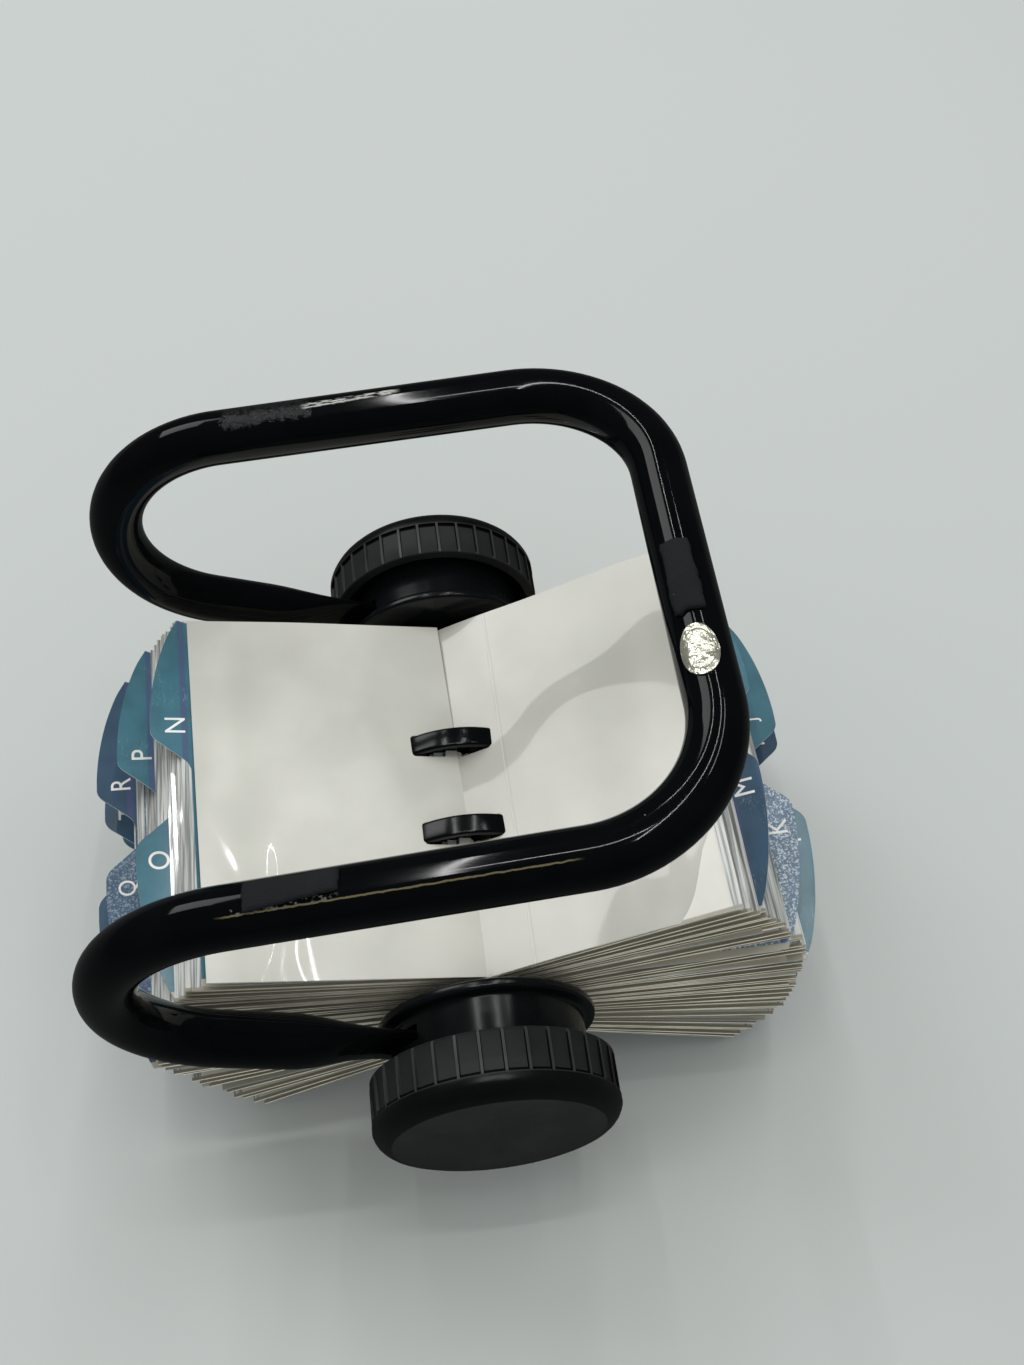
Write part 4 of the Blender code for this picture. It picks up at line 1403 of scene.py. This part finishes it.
@dataclass(frozen=True)
class Hang:
    """How a leaf leaves its even place: turned in its slots, pushed outwards, its outer part drawn in."""

    slide: float = 0.0
    draw: float = 0.0
    yaw: float | None = None
    pin: float = 0.0075

    def hung(self, mesh: Mesh, place: Place, yaw: float) -> Mesh:
        """Draw a flat leaf in, turn it in its slots and hang it at its place.

        Args:
            mesh: the leaf in its own axes.
            place: where it hangs.
            yaw: its fan's turn in degrees, for a leaf without its own.

        Returns:
            The same mesh, in the row frame.
        """
        points = Maker.points(mesh)
        points[:, 0] -= self.draw * np.clip((points[:, 0] - 0.02) / 0.03, 0.0, 1.0)
        Maker.moved(mesh, points)
        pin = Matrix.Translation((self.pin, 0.0, 0.0))
        turn = Matrix.Rotation(math.radians(yaw if self.yaw is None else self.yaw), 4, "Z")
        mesh.transform(place.matrix() @ (Matrix.Translation((self.slide, 0.0, 0.0)) @ pin @ turn @ pin.inverted()))
        work = Maker.opened(mesh)
        bmesh.ops.recalc_face_normals(work, faces=work.faces)
        return Maker.written(work, mesh)


HANGS = {
    "page_left": Hang(-0.0014), "n": Hang(-0.002), "o": Hang(-0.0018),
    "t": Hang(0.001), "u": Hang(0.0016), "v": Hang(0.0018),
    "page_right": Hang(-0.0021, 0.002), "sleeves_m_right": Hang(-0.0018, 0.002), "m": Hang(-0.002, 0.0032, -0.5),
    "sleeves_l": Hang(-0.0015, 0.0018), "l": Hang(-0.002, 0.004, -1.5),
    "sleeves_k": Hang(-0.001, 0.0015), "k": Hang(-0.0015, 0.0015, -3.0),
    "j": Hang(-0.001, 0.0015, -2.4), "i": Hang(yaw=-1.5), "h": Hang(yaw=-1.0),
    "sleeves_f": Hang(0.0025), "f": Hang(0.003), "sleeves_e": Hang(0.0038), "e": Hang(0.004),
    "d": Hang(0.0045), "c": Hang(0.005), "sleeves_b": Hang(0.005), "b": Hang(0.005), "a": Hang(0.005),
}


@dataclass(frozen=True)
class Bow:
    """How an open page leaves its plane: a twist, a bow across it and soft waves."""

    twist: float
    bow: float
    waves: tuple[tuple[float, float, float, float], ...]

    def bend(self, mesh: Mesh, leaf: Leaf) -> Mesh:
        """Move a flat page's points up or down.

        Args:
            mesh: the page in its own axes.
            leaf: the page's size.

        Returns:
            The same mesh.
        """
        points = Maker.points(mesh)
        u, v = points[:, 0] / leaf.depth, points[:, 1] / (leaf.length / 2)
        rise = -self.twist * u * v + self.bow * np.sin(math.pi * np.clip(u, 0, 1))
        for size, by_u, by_v, start in self.waves:
            rise += size * np.clip(u * 3, 0, 1) * np.sin(math.tau * (by_u * u + by_v * v) + start)
        points[:, 2] += rise
        return Maker.moved(mesh, points)


BOWS = {
    "page_left": Bow(0.0017, 0.0003, ((0.00012, 0.9, 0.7, 0.4), (0.00003, 1.9, -1.2, 2.0))),
    "page_right": Bow(-0.0012, 0.0007, ((0.0004, 0.8, -0.7, 1.0), (0.00015, 1.4, 1.0, 0.3))),
}


@dataclass
class CardFile:
    """Both fans of sleeves and lettered guides."""

    leaf: Leaf = field(default_factory=Leaf)
    front_row: str = "acegikmoqsuw"
    navy: str = "mrstuhgf"
    glinting_inks: dict[str, Ink] = field(default_factory=lambda: {"k": Ink.GLITTER, "q": Ink.SHIMMER, "g": Ink.SHIMMER})
    sheet: float = 0.0006
    page: float = 0.0005
    page_cuts: int = 28
    guide: float = 0.0004
    trimmed: float = 0.0016
    per_sheet: float = 1.7
    capital: float = 0.0049
    back_letter: Pair = (0.0702, 0.0187)
    front_letters: dict[Side, Pair] = field(
        default_factory=lambda: {Side.LEFT: (0.0709, -0.0149), Side.RIGHT: (0.0714, -0.0176)}
    )

    @staticmethod
    def stack_tree() -> NodeTree:
        """Geometry Nodes that fan copies of one sleeve from a top place to a bottom place."""
        kinds = {"Count": "Int", "Step": "Vector", "Turn": "Float", "Slide": "Float", "Yaw": "Float", "Seed": "Int"}
        grow = Growth("sleeve_stack", kinds | {"Film": "Material", "Edge": "Material"})
        given = grow.given
        index = grow.node("GeometryNodeInputIndex").outputs[0]
        share = grow.math("DIVIDE", index, grow.math("MAXIMUM", grow.math("SUBTRACT", given["Count"], 1.0), 1.0))
        step = grow.node("ShaderNodeVectorMath", {"operation": "SCALE"}, Vector=given["Step"], Scale=share)
        jolt = grow.vector(grow.random("Slide", 1.0), grow.random("Slide", 2.0), 0.0)
        spot = grow.node("ShaderNodeVectorMath", {"operation": "ADD"})
        grow.feed(spot.inputs[0], step.outputs[0])
        grow.feed(spot.inputs[1], jolt)
        points = grow.node("GeometryNodePoints", Count=given["Count"], Position=spot.outputs[0]).outputs[0]
        angles = grow.vector(0.0, grow.times(given["Turn"], share), grow.random("Yaw", 3.0))
        facing = grow.node("FunctionNodeEulerToRotation", Euler=angles).outputs[0]
        ends = {"Points": points, "Instance": given["Geometry"], "Rotation": facing}
        copies = grow.node("GeometryNodeInstanceOnPoints", **ends)
        return grow.closed(copies.outputs[0], given["Film"], given["Edge"])

    def pack(self, tree: NodeTree, ends: tuple[Place, Place], count: int, seed: int, palette: Palette) -> Mesh:
        """A pack of sleeves in the top one's own axes.

        Args:
            tree: the stacking tree.
            ends: the places of the top and the bottom sleeve.
            count: how many sleeves are drawn.
            seed: the pack's own seed.
            palette: the finishes.

        Returns:
            One mesh with every sleeve.
        """
        top, bottom = ends
        film, edge = palette("sleeve", "edge")
        item = Maker.linked("pack", self.leaf.flat(Row.NONE, self.sheet))
        return Growth.use(
            item, tree, Count=count, Step=top.matrix().inverted() @ bottom.spot(), Turn=top.lift - bottom.lift,
            Slide=0.0005, Yaw=0.005, Seed=seed, Film=film, Edge=edge,
        )

    def letter(self, text: str, row: Row, side: Side, face: float) -> Mesh:
        """A printed letter on one face of a tab, in the leaf's own axes.

        Args:
            text: the letters.
            row: the row of the tab.
            side: the fan that the leaf hangs in.
            face: 1 for the upper face, -1 for the lower.

        Returns:
            A thin mesh in material slot 2.
        """
        line = bpy.data.curves.new("letter", "FONT")
        line.body, line.extrude, line.resolution_u = text, 0.01, 6
        mesh = Maker.baked(Maker.linked("letter", line))
        points = Maker.points(mesh)
        low, high = points.min(axis=0), points.max(axis=0)
        points = (points - (low + high) / 2) * (self.capital / (high[1] - low[1]))
        across, up = points[:, 0] * face * 0.94, points[:, 1] * -side.value
        u, v = self.back_letter if row is Row.BACK else self.front_letters[side]
        rise = face * (self.guide / 2 + 0.00001) + np.sign(points[:, 2]) * 0.00002
        Maker.moved(mesh, np.stack([u + up, v + across, rise], axis=1))
        for polygon in mesh.polygons:
            polygon.material_index = 2
        return Maker.outward(mesh)

    def lettered(self, name: str, side: Side) -> Mesh:
        """A guide with its letter on both faces."""
        row = Row.FRONT if name[0] in self.front_row else Row.BACK
        letters = [self.letter(name.upper(), row, side, face) for face in (1.0, -1.0)]
        card = replace(self.leaf, length=self.leaf.length - self.trimmed).flat(row, self.guide)
        return Maker.written(Maker.opened(card, *letters), bpy.data.meshes.new("guide"))

    def build(self, palette: Palette) -> None:
        """Hang every leaf on its body.

        Args:
            palette: the finishes.
        """
        owner = {node: body for body, nodes in frame["record"]["behaviour"]["bodies"].items() for node in nodes}
        tree = self.stack_tree()
        for fan in FANS:
            places, index = fan.places(), 0
            for number, name in enumerate(fan.names()):
                count, here = fan.sheets(name), places[index]
                node, materials, slot = name, [], "sleeve_clear"
                if name in BOWS:
                    mesh = BOWS[name].bend(self.leaf.flat(Row.NONE, self.page, self.page_cuts), self.leaf)
                    materials = palette(name, "trim")
                elif "_" in name:
                    ends = Place.between(places, index - 0.8), Place.between(places, index + count - 0.2)
                    mesh = self.pack(tree, ends, int(self.per_sheet * count), 11 * number + 5, palette)
                    here = ends[0]
                else:
                    dark = name[0] in self.navy
                    mesh = self.lettered(name, fan.side)
                    materials = palette(self.glinting_inks.get(name, Ink.NAVY if dark else Ink.TEAL), "rim", "letter")
                    node, slot = "guide_" + name, "tab_navy" if dark else "tab_teal"
                index += count
                mesh = HANGS.get(name, Hang()).hung(mesh, here, fan.yaw)
                item = Maker.piece(("card_" if "_" in name else "index_") + name, mesh, *materials)
                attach(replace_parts(item, node), owner[node])


# The studio


@dataclass(frozen=True)
class Lamp:
    """A flat lamp overhead: its place, its two sizes, its power and its turn in degrees."""

    spot: Triple
    size: Pair
    energy: float
    turn: Triple


LAMPS = {
    "lamp_left": Lamp((-0.26, 0.55, 1.5), (1.5, 0.016), 4.0, (0.0, 0.0, 90.0)),
    "lamp_right": Lamp((0.33, 0.4, 1.5), (1.5, 0.016), 4.0, (0.0, 0.0, 82.0)),
    "lamp_page": Lamp((0.7, 0.48, 1.5), (0.6, 0.03), 1.2, (0.0, 0.0, 88.0)),
    "lamp_wide": Lamp((-1.05, 1.14, 1.5), (0.9, 0.8), 8.5, (-36.0, -35.0, 0.0)),
    "lamp_front": Lamp((-0.03, 0.07, 1.5), (0.45, 0.02), 1.6, (0.0, 0.0, 0.0)),
}


@dataclass
class Studio:
    """A pale floor, soft light and the photograph's camera."""

    lens: float = 39.5
    azimuth: float = math.radians(-7.3)
    elevation: float = math.radians(56.3)
    offset: Triple = (-0.010656, -0.187648, 0.347389)
    floor_half: float = 3.0

    def camera(self) -> None:
        """Set the camera at the photograph's viewing angle."""
        az, el = self.azimuth, self.elevation
        back = Vector((math.sin(az) * math.cos(el), -math.cos(az) * math.cos(el), math.sin(el)))
        right = Vector((math.cos(az), math.sin(az), 0.0))
        data = bpy.data.cameras.new("camera")
        data.sensor_fit = "VERTICAL"
        data.sensor_height = 36.0
        data.lens = self.lens
        data.clip_start = 0.01
        item = Maker.linked("camera", data)
        axes = Matrix((right, back.cross(right), back)).transposed().to_4x4()
        item.matrix_world = Matrix.Translation(AXLE + Vector(self.offset)) @ axes
        bpy.context.scene.camera = item

    def floor(self) -> None:
        """Lay the plain pale floor, which is dark in reflections."""
        material, shader = Shader.start("pale_floor")
        pale = shader.mix(shader.noise(shader.place(), 3.0, 1.0), (0.525, 0.553, 0.54), (0.545, 0.573, 0.56))
        colour = shader.mix(shader.glossy_ray(), pale, (0.07, 0.075, 0.075))
        shader.skin(Base_Color=colour, Roughness=0.6, Specular_IOR_Level=0.15)
        half = self.floor_half
        corners = [(-half, -half, 0), (half, -half, 0), (half, half, 0), (-half, half, 0)]
        floor = Maker.linked("floor", Maker.surface(np.array(corners, float), [(0, 1, 2, 3)]))
        floor.data.materials.append(material)

    def lights(self) -> None:
        """Hang the lamps overhead, and a soft sky that is dim in reflections."""
        for name, lamp in LAMPS.items():
            data = bpy.data.lights.new(name, "AREA")
            data.shape = "RECTANGLE"
            data.size, data.size_y = lamp.size
            data.energy = lamp.energy
            item = Maker.linked(name, data)
            item.location = lamp.spot
            item.rotation_euler = tuple(math.radians(value) for value in lamp.turn)
        world = bpy.data.worlds.new("soft_sky")
        bpy.context.scene.world = world
        world.use_nodes = True
        shader = Shader(world.node_tree)
        sky = world.node_tree.nodes["Background"].inputs
        sky["Color"].default_value = (0.965, 0.985, 0.975, 1.0)
        shader.feed(sky["Strength"], shader.span(shader.glossy_ray(), 0.0, 1.0, 0.61, 0.03))

    def build(self) -> None:
        """Set the camera, the floor, the lights and the view."""
        self.camera()
        self.floor()
        self.lights()
        bpy.context.scene.view_settings.view_transform = "Standard"
        LOG.info("studio ready")


def corners(box: tuple[Vector, Vector]) -> list[list[float]]:
    """A box as plain lists of numbers."""
    return [[float(value) for value in corner] for corner in box]


def main() -> None:
    """Build every part of the picture in order."""
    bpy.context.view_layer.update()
    palette = Palette()
    Studio().build()
    stand = Stand()
    stand.build(palette)
    Bearings().build(palette, stand)
    Drum().build(palette)
    Knobs().build(palette)
    Feet(stand).build(palette)
    CardFile().build(palette)
    LOG.info("sizes written")


if __name__ == "__main__":
    main()
